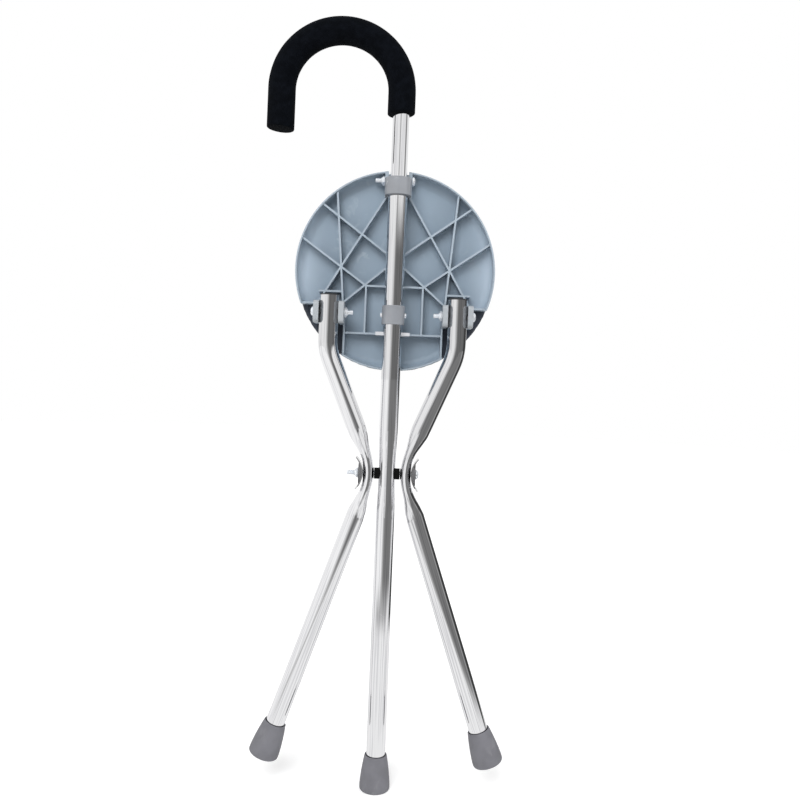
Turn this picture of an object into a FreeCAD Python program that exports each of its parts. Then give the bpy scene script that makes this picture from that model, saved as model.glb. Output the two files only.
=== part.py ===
import FreeCAD, Part

import math
import os

Vector = FreeCAD.Vector

# Walking stick seat, folded flat as a stick, in millimetres.
# Origin: centre of the main foot's underside. +Z runs up the main tube, +X points away from the crook,
# and the seat lies on the +Y side of the tubes.

# Tubes
TUBE_DIAMETER = 22.0
TUBE_WALL = 1.2
PRESS_SECTION_COUNT = 9
BENT_PRESS_SECTION_COUNT = 13
HANDLE_TUBE_DIAMETER = 19.0
HANDLE_TUBE_WALL = 1.2
MAIN_TUBE_TOP_BELOW_SLIDER_TOP = 9.0
HANDLE_TUBE_OVERLAP = 62.0

# Crook and grip
CROOK_CENTRE_ABOVE_MAIN_TUBE = 108.0
CROOK_RADIUS = 69.6
CROOK_TIP_DROP = 44.0
GRIP_DIAMETER = 32.0
GRIP_TUBE_CLEARANCE = 0.1
GRIP_STICK_END_DROP = 25.0
GRIP_TIP_END_DROP = 47.0
GRIP_END_TILT = 4.0
PLUG_CLEARANCE = 0.1
PLUG_LENGTH = 14.0
PLUG_FLANGE_THICKNESS = 1.5

# Joint rivet at the back of the main tube
RIVET_DIAMETER = 4.0
RIVET_DROP_BELOW_TUBE_TOP = 34.0
RIVET_DEPTH = 4.0

# Cross bolt, where the side legs cross the stick
CROSSING_HEIGHT = 365.0
CROSS_BOLT_DIAMETER = 6.0
RUNNING_CLEARANCE = 0.05
FIXED_HOLE_CLEARANCE = 0.1
CROSS_BOLT_THREAD_END = 9.0
MAIN_CRUSH_WIDTH = 20.0
MAIN_CRUSH_FLAT = 10.0
MAIN_CRUSH_REACH = 50.0
SPACER_DIAMETER = 13.0
SPACER_THICKNESS = 4.75
MOVING_GAP = 0.25

# Side legs
LEG_CRUSH_WIDTH = 12.5
LEG_CRUSH_FLAT = 18.0
LEG_CRUSH_REACH = 54.0
LEG_CROSSING_BEND_RADIUS = 65.0
LEG_SHOULDER_BEND_RADIUS = 70.0
LEG_UPPER_ANGLE = 22.7
LEG_LOWER_ANGLE = 18.9
LEG_FOOT_HEIGHT = 35.0
LEG_TOP_ABOVE_HINGE = 20.6

# Saddle plates and washers on the outside of the legs
SADDLE_RADIUS = 27.0
SADDLE_THICKNESS = 1.6
SADDLE_HALF_ANGLE = 45.0
SADDLE_WIDTH = 22.0
SADDLE_CORNER_RADIUS = 7.0
SADDLE_SEAT_GAP = 0.1
SADDLE_WASHER_DIAMETER = 26.4

# Hinges between the leg tops and the seat
HINGE_SPACING = 149.0
HINGE_RISE = 184.6
HINGE_BOLT_DIAMETER = 6.0
HINGE_SLEEVE_DIAMETER = 9.0
HINGE_EAR_THICKNESS = 6.0
HINGE_EAR_HALF_HEIGHT = 12.75
HINGE_EAR_NOSE = 11.5
HINGE_EAR_CORNER_RADIUS = 5.0
HINGE_EAR_CLEARANCE = 0.5
HINGE_THREAD_END = 6.0

# Fasteners
BOLT_HEAD_DIAMETER = 11.0
BOLT_HEAD_HEIGHT = 3.5
BOLT_END_BEVEL = 0.6
NUT_WIDTH = 10.0
NUT_HEIGHT = 4.2
FASTENER_SEAT_GAP = 0.05

# Slider pivot and slider collar
SLIDER_PIVOT_BELOW_SEAT_RIM = 11.1
SLIDER_PIVOT_SETBACK = 17.0
SLIDER_BOLT_DIAMETER = 6.0
SLIDER_THREAD_END = 7.0
SLIDER_DIAMETER = 31.5
SLIDER_HEIGHT = 20.5
SLIDER_BORE_CLEARANCE = 0.55
SLIDER_TOP_BELOW_PIVOT = 1.0
SLIDER_LUG_RADIUS = 6.2
SLIDER_LUG_FOOT_RISE = 5.0
SLIDER_LUG_NOSE_DROP = 3.1
SLIDER_LUG_LEDGE = 1.0
COLLAR_EDGE_ROUND = 0.8
SLIDER_LUG_SIDE_CLEARANCE = 0.3

# Opening motion and stop collar
OPEN_ANGLE = 50.4
SEAT_TURN_PER_LEG_TURN = 1.15
STOP_COLLAR_DIAMETER = 26.5
STOP_COLLAR_HEIGHT = 22.0
STOP_COLLAR_CLEARANCE = 0.05
STOP_CONTACT_GAP = 0.3
STOP_RIVET_DIAMETER = 4.0
STOP_RIVET_HEAD_DIAMETER = 6.0
STOP_RIVET_HEAD_HEIGHT = 1.9
STOP_RIVET_HEAD_ROUND = 1.5

# Seat shell
SEAT_RADIUS = 117.5
SEAT_CENTRE_ABOVE_HINGE = 52.0
SEAT_FRONT_SETBACK = 12.5
SEAT_DISH_DEPTH = 16.5
SEAT_SKIN = 3.0
SEAT_RIM_WALL = 2.2
SEAT_RIM_FILLET = 10.0
RIB_DROP = 2.0
RIB_FRONT_THICKNESS = 2.2
RIB_BASE_THICKNESS = 3.0
RIB_ROOT = 1.0
NOTCH_HALF_WIDTH = 12.0
NOTCH_EAR_THICKNESS = 4.0
NOTCH_EAR_NOSE_RADIUS = 5.8
NOTCH_DEPTH = 31.0
CUTOUT_EDGE_ABOVE_HINGE = 10.0
LEG_SWEEP_CLEARANCE = 0.8
FLAP_HALF_WIDTH = 59.0
VERTICAL_RIB_TOP_X = 71.5
FAN_RIB_ANGLE = 40.9
FAN_HUB_ABOVE_CENTRE = 12.5
BRACE_RIB_ANGLE = 18.1
BOX_HALF_WIDTH = 33.5
BOX_TOP_BELOW_CENTRE = 18.5
CLIP_RIB_BELOW_STOP_COLLAR = 10.3
CLIP_LIP_HEIGHT = 4.0
CLIP_LIP_REACH = 20.0
CLIP_LIP_SETBACK = 3.5
CLIP_TUBE_CLEARANCE = 0.5

# Seat pad
PAD_OVERHANG = 2.5
PAD_EDGE_THICKNESS = 9.0
PAD_CROWN = 5.5
PAD_BASE_ROUND = 4.0

# Rubber feet
FOOT_BASE_DIAMETER = 35.0
FOOT_RIM_DIAMETER = 25.6
FOOT_HEIGHT = 40.0
FOOT_SHOULDER_HEIGHT = 6.0
FOOT_BASE_ROUND = 2.5
FOOT_SIDE_BULGE = 0.6
FOOT_FLOOR = 8.0
FOOT_BORE_CLEARANCE = 0.1
FOOT_RIM_CHAMFER = 0.5
FOOT_MOUTH_FLARE = 0.9
FOOT_MOUTH_DEPTH = 2.6
FOOT_WASHER_THICKNESS = 1.5

# How far a cutter runs past the piece that it cuts
CUT_SPARE = 1.0

# Sizes worked out from the ones above
TUBE_RADIUS = TUBE_DIAMETER / 2
HANDLE_TUBE_RADIUS = HANDLE_TUBE_DIAMETER / 2
CROSS_BOLT_RADIUS = CROSS_BOLT_DIAMETER / 2
HINGE_X = HINGE_SPACING / 2
HINGE_HEIGHT = CROSSING_HEIGHT + HINGE_RISE
SLIDER_PIVOT_RISE = SEAT_CENTRE_ABOVE_HINGE + SEAT_RADIUS - SLIDER_PIVOT_BELOW_SEAT_RIM
PIVOT_HEIGHT = HINGE_HEIGHT + SLIDER_PIVOT_RISE
PIVOT_Y = SLIDER_PIVOT_SETBACK
SLIDER_TOP = PIVOT_HEIGHT - SLIDER_TOP_BELOW_PIVOT
SLIDER_BOTTOM = SLIDER_TOP - SLIDER_HEIGHT
MAIN_TUBE_TOP = SLIDER_TOP - MAIN_TUBE_TOP_BELOW_SLIDER_TOP
CROOK_CENTRE_HEIGHT = MAIN_TUBE_TOP + CROOK_CENTRE_ABOVE_MAIN_TUBE
SEAT_CENTRE_HEIGHT = HINGE_HEIGHT + SEAT_CENTRE_ABOVE_HINGE
SEAT_FLOOR_Y = SEAT_FRONT_SETBACK + SEAT_DISH_DEPTH
SEAT_BACK_Y = SEAT_FLOOR_Y + SEAT_SKIN
RIB_FRONT_Y = SEAT_FRONT_SETBACK + RIB_DROP
PAD_RADIUS = SEAT_RADIUS + PAD_OVERHANG
MAIN_CRUSH_HALF = MAIN_CRUSH_WIDTH / 2
LEG_CRUSH_HALF = LEG_CRUSH_WIDTH / 2
LEG_CROSSING_X = MAIN_CRUSH_HALF + SPACER_THICKNESS + MOVING_GAP + LEG_CRUSH_HALF
SADDLE_FACE_X = LEG_CROSSING_X + LEG_CRUSH_HALF + SADDLE_SEAT_GAP
SADDLE_CENTRE_X = SADDLE_FACE_X + SADDLE_RADIUS
SADDLE_INNER_RADIUS = SADDLE_RADIUS - SADDLE_THICKNESS
EAR_INNER_GAP = TUBE_RADIUS + HINGE_EAR_CLEARANCE
FOOT_WASHER_TOP = FOOT_FLOOR + FOOT_WASHER_THICKNESS
TUBE_END_IN_FOOT = FOOT_WASHER_TOP + FASTENER_SEAT_GAP
X_AXIS = Vector(1, 0, 0)
Y_AXIS = Vector(0, 1, 0)
Z_AXIS = Vector(0, 0, 1)


def cylinder(radius, length, base, direction):
    return Part.makeCylinder(radius, length, base, direction)


def rod_x(radius, x_start, x_end, y, z):
    """A round bar along X."""
    return cylinder(radius, x_end - x_start, Vector(x_start, y, z), X_AXIS)


def box(x_range, y_range, z_range):
    corner = Vector(x_range[0], y_range[0], z_range[0])
    return Part.makeBox(x_range[1] - x_range[0], y_range[1] - y_range[0], z_range[1] - z_range[0], corner)


def closed_face(edges):
    return Part.Face(Part.Wire(edges))


def line(start, end):
    return Part.LineSegment(start, end).toShape()


def arc(start, middle, end):
    return Part.Arc(start, middle, end).toShape()


def cap_arc(rim_point, top_point, axis_foot):
    """An arc from a rim to the top of a cap, centred on the cap's axis; the foot is level with the rim."""
    half_width = (rim_point - axis_foot).Length
    height = (top_point - axis_foot).Length
    radius = (half_width ** 2 + height ** 2) / (2 * height)
    outward = (rim_point - axis_foot).normalize()
    upward = (top_point - axis_foot).normalize()
    half_angle = math.atan2(half_width, radius - height) / 2
    centre = top_point - upward * radius
    to_middle = outward * math.sin(half_angle) + upward * math.cos(half_angle)
    return arc(rim_point, centre + to_middle * radius, top_point)


def revolved(edges, axis_point, axis):
    return closed_face(edges).revolve(axis_point, axis, 360)


def mirrored(shape):
    """The same piece on the other side of the stick."""
    return shape.mirror(Vector(0, 0, 0), X_AXIS)


def fused(shapes):
    return shapes[0].fuse(shapes[1:]).removeSplitter()


# Bent and pressed tubes

def crushed_half_width(distance, full_half, radius, flat, reach):
    """Half the width of a pressed tube at a distance along it from the middle of the press."""
    blend = (abs(distance) - flat) / (reach - flat)
    blend = min(max(blend, 0.0), 1.0)
    smooth = blend * blend * (3 - 2 * blend)
    return full_half + (radius - full_half) * smooth


def crushed_section(point, tangent, half_width, radius, inset):
    """An ellipse of about the round tube's girth, narrow across the tube's plane and deep along Y."""
    half_depth = math.sqrt(2 * radius * radius - half_width * half_width)
    ellipse = Part.Ellipse(Vector(0, 0, 0), half_depth - inset, half_width - inset)
    wire = Part.Wire(ellipse.toShape())
    across = Y_AXIS.cross(tangent)
    turn = FreeCAD.Matrix(
        Y_AXIS.x, across.x, tangent.x, point.x,
        Y_AXIS.y, across.y, tangent.y, point.y,
        Y_AXIS.z, across.z, tangent.z, point.z,
        0, 0, 0, 1,
    )
    wire.Placement = FreeCAD.Placement(turn)
    return wire


def crushed_length(path, full_half, flat, reach, inset, sections):
    """The stretch of a tube that is pressed flat, lofted through sections along its path."""
    wires = []
    for index in range(sections):
        distance = -reach + 2 * reach * index / (sections - 1)
        point, tangent = path(distance)
        half_width = crushed_half_width(distance, full_half, TUBE_RADIUS, flat, reach)
        wires.append(crushed_section(point, tangent, half_width, TUBE_RADIUS, inset))
    return Part.makeLoft(wires, True, False)


def straight_path(distance):
    """The main tube's line through the crossing."""
    return Vector(0, 0, CROSSING_HEIGHT + distance), Z_AXIS


def leg_path(distance):
    """The right leg's centre line, by distance along it from the cross bolt, up positive."""
    bend = LEG_CROSSING_BEND_RADIUS
    limit = math.radians(LEG_UPPER_ANGLE if distance > 0 else LEG_LOWER_ANGLE)
    angle = min(abs(distance) / bend, limit)
    beyond = abs(distance) - angle * bend
    side = math.copysign(1.0, distance)
    x = LEG_CROSSING_X + bend * (1 - math.cos(angle)) + beyond * math.sin(angle)
    z = CROSSING_HEIGHT + side * (bend * math.sin(angle) + beyond * math.cos(angle))
    tangent = Vector(side * math.sin(angle), 0, math.cos(angle))
    return Vector(x, 0, z), tangent


def leg_tube_solid(inset):
    """The right leg as a solid bar, smaller all round by the inset."""
    radius = TUBE_RADIUS - inset
    crush = crushed_length(
        leg_path, LEG_CRUSH_HALF, LEG_CRUSH_FLAT, LEG_CRUSH_REACH, inset, BENT_PRESS_SECTION_COUNT
    )

    lower_end, lower_tangent = leg_path(-LEG_CRUSH_REACH)
    lower_length = (lower_end.z - LEG_FOOT_HEIGHT) / lower_tangent.z - TUBE_END_IN_FOOT
    lower = cylinder(radius, lower_length, lower_end, -lower_tangent)

    upper_end, upper_tangent = leg_path(LEG_CRUSH_REACH)
    shoulder_angle = math.radians(LEG_UPPER_ANGLE)
    shoulder_x = HINGE_X - LEG_SHOULDER_BEND_RADIUS * (1 - math.cos(shoulder_angle))
    upper_length = (shoulder_x - upper_end.x) / upper_tangent.x
    upper = cylinder(radius, upper_length, upper_end, upper_tangent)

    bend_start = upper_end + upper_tangent * upper_length
    bend_top = bend_start.z + LEG_SHOULDER_BEND_RADIUS * math.sin(shoulder_angle)
    bend_centre = Vector(HINGE_X - LEG_SHOULDER_BEND_RADIUS, 0, bend_top)
    ring = Part.Circle(Vector(HINGE_X, 0, bend_top), Z_AXIS, radius).toShape()
    bend = closed_face([ring]).revolve(bend_centre, Y_AXIS, LEG_UPPER_ANGLE)

    top_length = HINGE_HEIGHT + LEG_TOP_ABOVE_HINGE - PLUG_FLANGE_THICKNESS - bend_top
    top = cylinder(radius, top_length, Vector(HINGE_X, 0, bend_top), Z_AXIS)
    return fused([crush, lower, upper, bend, top])


def right_leg_tube():
    tube = leg_tube_solid(0).cut(leg_tube_solid(TUBE_WALL))
    bolt_hole = rod_x(CROSS_BOLT_RADIUS + RUNNING_CLEARANCE, 0, HINGE_X, 0, CROSSING_HEIGHT)
    sleeve_hole = rod_x(
        HINGE_SLEEVE_DIAMETER / 2 + RUNNING_CLEARANCE,
        HINGE_X - TUBE_DIAMETER, HINGE_X + TUBE_DIAMETER, 0, HINGE_HEIGHT,
    )
    return tube.cut(bolt_hole).cut(sleeve_hole)


def main_tube_solid(inset):
    """The main tube as a solid bar, smaller all round by the inset."""
    radius = TUBE_RADIUS - inset
    crush = crushed_length(
        straight_path, MAIN_CRUSH_HALF, MAIN_CRUSH_FLAT, MAIN_CRUSH_REACH, inset, PRESS_SECTION_COUNT
    )
    crush_bottom = CROSSING_HEIGHT - MAIN_CRUSH_REACH
    crush_top = CROSSING_HEIGHT + MAIN_CRUSH_REACH
    lower = cylinder(radius, crush_bottom - TUBE_END_IN_FOOT, Vector(0, 0, TUBE_END_IN_FOOT), Z_AXIS)
    upper = cylinder(radius, MAIN_TUBE_TOP - crush_top, Vector(0, 0, crush_top), Z_AXIS)
    return fused([lower, crush, upper])


def rivet_place():
    """The joint rivet's head, flush with the back of the main tube."""
    return Vector(0, TUBE_RADIUS, MAIN_TUBE_TOP - RIVET_DROP_BELOW_TUBE_TOP)


def main_tube():
    tube = main_tube_solid(0).cut(main_tube_solid(TUBE_WALL))
    bolt_hole = rod_x(
        CROSS_BOLT_RADIUS + FIXED_HOLE_CLEARANCE, -TUBE_DIAMETER, TUBE_DIAMETER, 0, CROSSING_HEIGHT
    )
    stop_hole = rod_x(
        STOP_RIVET_DIAMETER / 2 + FIXED_HOLE_CLEARANCE,
        -TUBE_DIAMETER, TUBE_DIAMETER, 0, stop_collar_top() - STOP_COLLAR_HEIGHT / 2,
    )
    rivet_hole = cylinder(RIVET_DIAMETER / 2 + FIXED_HOLE_CLEARANCE, TUBE_RADIUS, rivet_place(), -Y_AXIS)
    return tube.cut(bolt_hole).cut(stop_hole).cut(rivet_hole)


# Crook, grip and plugs

def crook_bar(radius, stick_end, tip_end):
    """A round bar along the crook, from a height on the stick to a height at the tip."""
    centre = Vector(-CROOK_RADIUS, 0, CROOK_CENTRE_HEIGHT)
    stick = cylinder(radius, CROOK_CENTRE_HEIGHT - stick_end, Vector(0, 0, stick_end), Z_AXIS)
    ring = Part.Circle(Vector(0, 0, CROOK_CENTRE_HEIGHT), Z_AXIS, radius).toShape()
    bend = closed_face([ring]).revolve(centre, -Y_AXIS, 180)
    tip_x = -2 * CROOK_RADIUS
    tip = cylinder(radius, CROOK_CENTRE_HEIGHT - tip_end, Vector(tip_x, 0, tip_end), Z_AXIS)
    return fused([stick, bend, tip])


def handle_tube_tip():
    return CROOK_CENTRE_HEIGHT - CROOK_TIP_DROP


def handle_tube():
    start = MAIN_TUBE_TOP - HANDLE_TUBE_OVERLAP
    outer = crook_bar(HANDLE_TUBE_RADIUS, start, handle_tube_tip())
    inner = crook_bar(HANDLE_TUBE_RADIUS - HANDLE_TUBE_WALL, start, handle_tube_tip())
    rivet_hole = cylinder(RIVET_DIAMETER / 2 + FIXED_HOLE_CLEARANCE, TUBE_RADIUS, rivet_place(), -Y_AXIS)
    return outer.cut(inner).cut(rivet_hole)


def joint_rivet():
    return cylinder(RIVET_DIAMETER / 2, RIVET_DEPTH, rivet_place(), -Y_AXIS)


def grip_end_cutter(x, height, tilt):
    """A block under a tilted plane, to cut the grip's end."""
    reach = 2 * GRIP_DIAMETER
    block = Part.makeBox(2 * reach, 2 * reach, reach, Vector(x - reach, -reach, height - reach))
    block.rotate(Vector(x, 0, height), Y_AXIS, tilt)
    return block


def foam_grip():
    """The grip is pushed over the bend, so the inner side of each end stands a little lower."""
    stick_end = CROOK_CENTRE_HEIGHT - GRIP_STICK_END_DROP
    tip_end = CROOK_CENTRE_HEIGHT - GRIP_TIP_END_DROP
    spare = GRIP_DIAMETER / 4
    outer = crook_bar(GRIP_DIAMETER / 2, stick_end - spare, tip_end - spare)
    bore = crook_bar(HANDLE_TUBE_RADIUS + GRIP_TUBE_CLEARANCE, stick_end - 2 * spare, tip_end - 2 * spare)
    grip = outer.cut(grip_end_cutter(0, stick_end, -GRIP_END_TILT))
    grip = grip.cut(grip_end_cutter(-2 * CROOK_RADIUS, tip_end, GRIP_END_TILT))
    return grip.cut(bore)


def tube_plug(bore_radius, flange_radius):
    """A push-in plug: a ribless stem below z = 0 and a thin flange above it."""
    stem = cylinder(bore_radius - PLUG_CLEARANCE, PLUG_LENGTH, Vector(0, 0, -PLUG_LENGTH), Z_AXIS)
    flange = cylinder(flange_radius, PLUG_FLANGE_THICKNESS, Vector(0, 0, 0), Z_AXIS)
    edges = [edge for edge in flange.Edges if edge.BoundBox.ZMin > PLUG_FLANGE_THICKNESS / 2]
    flange = flange.makeFillet(PLUG_FLANGE_THICKNESS / 2, edges)
    return fused([stem, flange])


def grip_end_plug():
    plug = tube_plug(HANDLE_TUBE_RADIUS - HANDLE_TUBE_WALL, HANDLE_TUBE_RADIUS)
    plug.rotate(Vector(0, 0, 0), X_AXIS, 180)
    plug.translate(Vector(-2 * CROOK_RADIUS, 0, handle_tube_tip()))
    return plug


def right_leg_plug():
    plug = tube_plug(TUBE_RADIUS - TUBE_WALL, TUBE_RADIUS)
    plug.translate(Vector(HINGE_X, 0, HINGE_HEIGHT + LEG_TOP_ABOVE_HINGE - PLUG_FLANGE_THICKNESS))
    return plug


# Fasteners

def domed_head(x, y, z):
    """A low domed bolt head that grows towards +X."""
    rim = BOLT_HEAD_DIAMETER / 2
    centre = Vector(x, y, z)
    edge = Vector(x, y, z + rim)
    top = Vector(x + BOLT_HEAD_HEIGHT, y, z)
    return revolved([line(centre, edge), cap_arc(edge, top, centre), line(top, centre)], centre, X_AXIS)


def bolt(shank_radius, thread_end_x, head_x, y, z):
    """A domed bolt with its head at the +X end and a bevelled thread end."""
    shank = rod_x(shank_radius, thread_end_x, head_x, y, z)
    end_edges = [edge for edge in shank.Edges if edge.BoundBox.XMax < thread_end_x + BOLT_END_BEVEL]
    shank = shank.makeChamfer(BOLT_END_BEVEL, end_edges)
    return fused([shank, domed_head(head_x, y, z)])


def nut(hole_radius, x_start, y, z):
    """A hexagon nut that grows towards +X."""
    corner = NUT_WIDTH / 2 / math.cos(math.radians(30))
    points = []
    for index in range(7):
        angle = math.radians(60 * index + 30)
        points.append(Vector(x_start, y + corner * math.cos(angle), z + corner * math.sin(angle)))
    prism = Part.Face(Part.makePolygon(points)).extrude(Vector(NUT_HEIGHT, 0, 0))
    hole = rod_x(hole_radius, x_start - CUT_SPARE, x_start + NUT_HEIGHT + CUT_SPARE, y, z)
    return prism.cut(hole)


# Crossing hardware

def head_seat_x():
    """Where the cross bolt's head and nut bear, just clear of the saddle washers' flat faces."""
    chord = math.sqrt(SADDLE_INNER_RADIUS ** 2 - (SADDLE_WASHER_DIAMETER / 2) ** 2)
    return SADDLE_CENTRE_X - chord + MOVING_GAP


def cross_bolt():
    thread_end = -head_seat_x() - NUT_HEIGHT - CROSS_BOLT_THREAD_END
    return bolt(CROSS_BOLT_RADIUS, thread_end, head_seat_x(), 0, CROSSING_HEIGHT)


def cross_nut():
    return nut(CROSS_BOLT_RADIUS + FASTENER_SEAT_GAP, -head_seat_x() - NUT_HEIGHT, 0, CROSSING_HEIGHT)


def right_spacer():
    """A rubber spacer, hollowed on its inner end to sit on the pressed main tube."""
    outer_x = MAIN_CRUSH_HALF + SPACER_THICKNESS
    bar = rod_x(SPACER_DIAMETER / 2, MAIN_CRUSH_HALF / 2, outer_x, 0, CROSSING_HEIGHT)
    hole = rod_x(CROSS_BOLT_RADIUS + FIXED_HOLE_CLEARANCE, 0, outer_x + CUT_SPARE, 0, CROSSING_HEIGHT)
    return bar.cut(main_tube_solid(-FASTENER_SEAT_GAP)).cut(hole)


def right_saddle_plate():
    """A strip curved up and down, its hollow side outwards, with rounded corners."""
    angle = math.radians(SADDLE_HALF_ANGLE)

    def place(radius, turn):
        x = SADDLE_CENTRE_X - radius * math.cos(turn)
        return Vector(x, -SADDLE_WIDTH / 2, CROSSING_HEIGHT + radius * math.sin(turn))

    outer = SADDLE_RADIUS
    inner = SADDLE_INNER_RADIUS
    edges = [
        arc(place(outer, -angle), place(outer, 0), place(outer, angle)),
        line(place(outer, angle), place(inner, angle)),
        arc(place(inner, angle), place(inner, 0), place(inner, -angle)),
        line(place(inner, -angle), place(outer, -angle)),
    ]
    strip = closed_face(edges).extrude(Vector(0, SADDLE_WIDTH, 0))
    reach = SADDLE_RADIUS * math.sin(angle) + SADDLE_THICKNESS
    outline = box(
        (SADDLE_FACE_X - CUT_SPARE, SADDLE_CENTRE_X),
        (-SADDLE_WIDTH / 2, SADDLE_WIDTH / 2),
        (CROSSING_HEIGHT - reach, CROSSING_HEIGHT + reach),
    )
    corners = [edge for edge in outline.Edges if edge.BoundBox.XLength > SADDLE_THICKNESS]
    outline = outline.makeFillet(SADDLE_CORNER_RADIUS, corners)
    hole = rod_x(CROSS_BOLT_RADIUS + FIXED_HOLE_CLEARANCE, 0, SADDLE_CENTRE_X, 0, CROSSING_HEIGHT)
    return strip.common(outline).cut(hole)


def right_saddle_washer():
    """A round washer, flat outside for the bolt head and curved inside to lie in the saddle plate."""
    flat_x = head_seat_x() - MOVING_GAP
    bar = rod_x(SADDLE_WASHER_DIAMETER / 2, SADDLE_FACE_X, flat_x, 0, CROSSING_HEIGHT)
    curve_start = Vector(SADDLE_CENTRE_X, -SADDLE_WIDTH, CROSSING_HEIGHT)
    curve = cylinder(SADDLE_INNER_RADIUS - FASTENER_SEAT_GAP, 2 * SADDLE_WIDTH, curve_start, Y_AXIS)
    hole = rod_x(CROSS_BOLT_RADIUS + FIXED_HOLE_CLEARANCE, 0, SADDLE_CENTRE_X, 0, CROSSING_HEIGHT)
    return bar.common(curve).cut(hole)


# Feet

def foot_profile():
    """Half of the rubber foot's section: a flared boot with a rounded shoulder and a blind, flared bore."""
    base = FOOT_BASE_DIAMETER / 2
    rim = FOOT_RIM_DIAMETER / 2
    bore = TUBE_RADIUS + FOOT_BORE_CLEARANCE
    mouth = bore + FOOT_MOUTH_FLARE
    round_off = FOOT_BASE_ROUND
    diagonal = round_off * (1 - math.sqrt(0.5))

    def at(radius, height):
        return Vector(radius, 0, height)

    return [
        line(at(0, 0), at(base - round_off, 0)),
        arc(at(base - round_off, 0), at(base - diagonal, diagonal), at(base, round_off)),
        line(at(base, round_off), at(base, FOOT_SHOULDER_HEIGHT)),
        arc(
            at(base, FOOT_SHOULDER_HEIGHT),
            at((base + rim) / 2 + FOOT_SIDE_BULGE, (FOOT_SHOULDER_HEIGHT + FOOT_HEIGHT) / 2),
            at(rim, FOOT_HEIGHT - FOOT_RIM_CHAMFER),
        ),
        line(at(rim, FOOT_HEIGHT - FOOT_RIM_CHAMFER), at(rim - FOOT_RIM_CHAMFER, FOOT_HEIGHT)),
        line(at(rim - FOOT_RIM_CHAMFER, FOOT_HEIGHT), at(mouth, FOOT_HEIGHT)),
        line(at(mouth, FOOT_HEIGHT), at(bore, FOOT_HEIGHT - FOOT_MOUTH_DEPTH)),
        line(at(bore, FOOT_HEIGHT - FOOT_MOUTH_DEPTH), at(bore, FOOT_FLOOR)),
        line(at(bore, FOOT_FLOOR), at(0, FOOT_FLOOR)),
        line(at(0, FOOT_FLOOR), at(0, 0)),
    ]


def main_foot():
    return revolved(foot_profile(), Vector(0, 0, 0), Z_AXIS)


def main_foot_washer():
    radius = TUBE_RADIUS - RUNNING_CLEARANCE
    return cylinder(radius, FOOT_WASHER_THICKNESS, Vector(0, 0, FOOT_FLOOR), Z_AXIS)


def leg_foot_point():
    """The middle of the right foot's underside."""
    end, tangent = leg_path(-LEG_CRUSH_REACH)
    length = (end.z - LEG_FOOT_HEIGHT) / tangent.z
    return end - tangent * length


def on_right_leg(shape):
    """Moves a piece made about the stick's foot to the end of the right leg."""
    shape.rotate(Vector(0, 0, 0), Y_AXIS, -LEG_LOWER_ANGLE)
    shape.translate(leg_foot_point())
    return shape


# Stop collar and slider

def slider_drop():
    """How far the slider collar runs down the main tube as the stool opens."""
    leg = math.radians(OPEN_ANGLE)
    seat = leg * SEAT_TURN_PER_LEG_TURN
    arm = math.hypot(SLIDER_PIVOT_SETBACK, SLIDER_PIVOT_RISE)
    start = math.atan2(SLIDER_PIVOT_SETBACK, SLIDER_PIVOT_RISE)
    open_height = CROSSING_HEIGHT + HINGE_RISE * math.cos(leg) + arm * math.cos(start - seat)
    return PIVOT_HEIGHT - open_height


def stop_collar_top():
    return SLIDER_BOTTOM - slider_drop() - STOP_CONTACT_GAP


def rounded_collar(radius, height, bottom):
    """A solid collar about the stick with rounded edges, before its bore is cut."""
    collar = cylinder(radius, height, Vector(0, 0, bottom), Z_AXIS)
    return collar.makeFillet(COLLAR_EDGE_ROUND, [edge for edge in collar.Edges if edge.Closed])


def collar_bore(radius, height, bottom):
    return cylinder(radius, height + 2 * CUT_SPARE, Vector(0, 0, bottom - CUT_SPARE), Z_AXIS)


def stop_collar():
    bottom = stop_collar_top() - STOP_COLLAR_HEIGHT
    middle = stop_collar_top() - STOP_COLLAR_HEIGHT / 2
    collar = rounded_collar(STOP_COLLAR_DIAMETER / 2, STOP_COLLAR_HEIGHT, bottom)
    bore = collar_bore(TUBE_RADIUS + STOP_COLLAR_CLEARANCE, STOP_COLLAR_HEIGHT, bottom)
    hole_radius = STOP_RIVET_DIAMETER / 2 + FIXED_HOLE_CLEARANCE
    hole = rod_x(hole_radius, -STOP_COLLAR_DIAMETER, STOP_COLLAR_DIAMETER, 0, middle)
    return collar.cut(bore).cut(hole)


def stop_collar_rivet():
    middle = stop_collar_top() - STOP_COLLAR_HEIGHT / 2
    face = STOP_COLLAR_DIAMETER / 2 + FASTENER_SEAT_GAP
    shank = rod_x(STOP_RIVET_DIAMETER / 2, -face, face, 0, middle)
    head = rod_x(STOP_RIVET_HEAD_DIAMETER / 2, face, face + STOP_RIVET_HEAD_HEIGHT, 0, middle)
    outer = [edge for edge in head.Edges if edge.BoundBox.XMin > face + STOP_RIVET_HEAD_HEIGHT / 2]
    head = head.makeFillet(STOP_RIVET_HEAD_ROUND, outer)
    return fused([shank, head, mirrored(head)])


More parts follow.
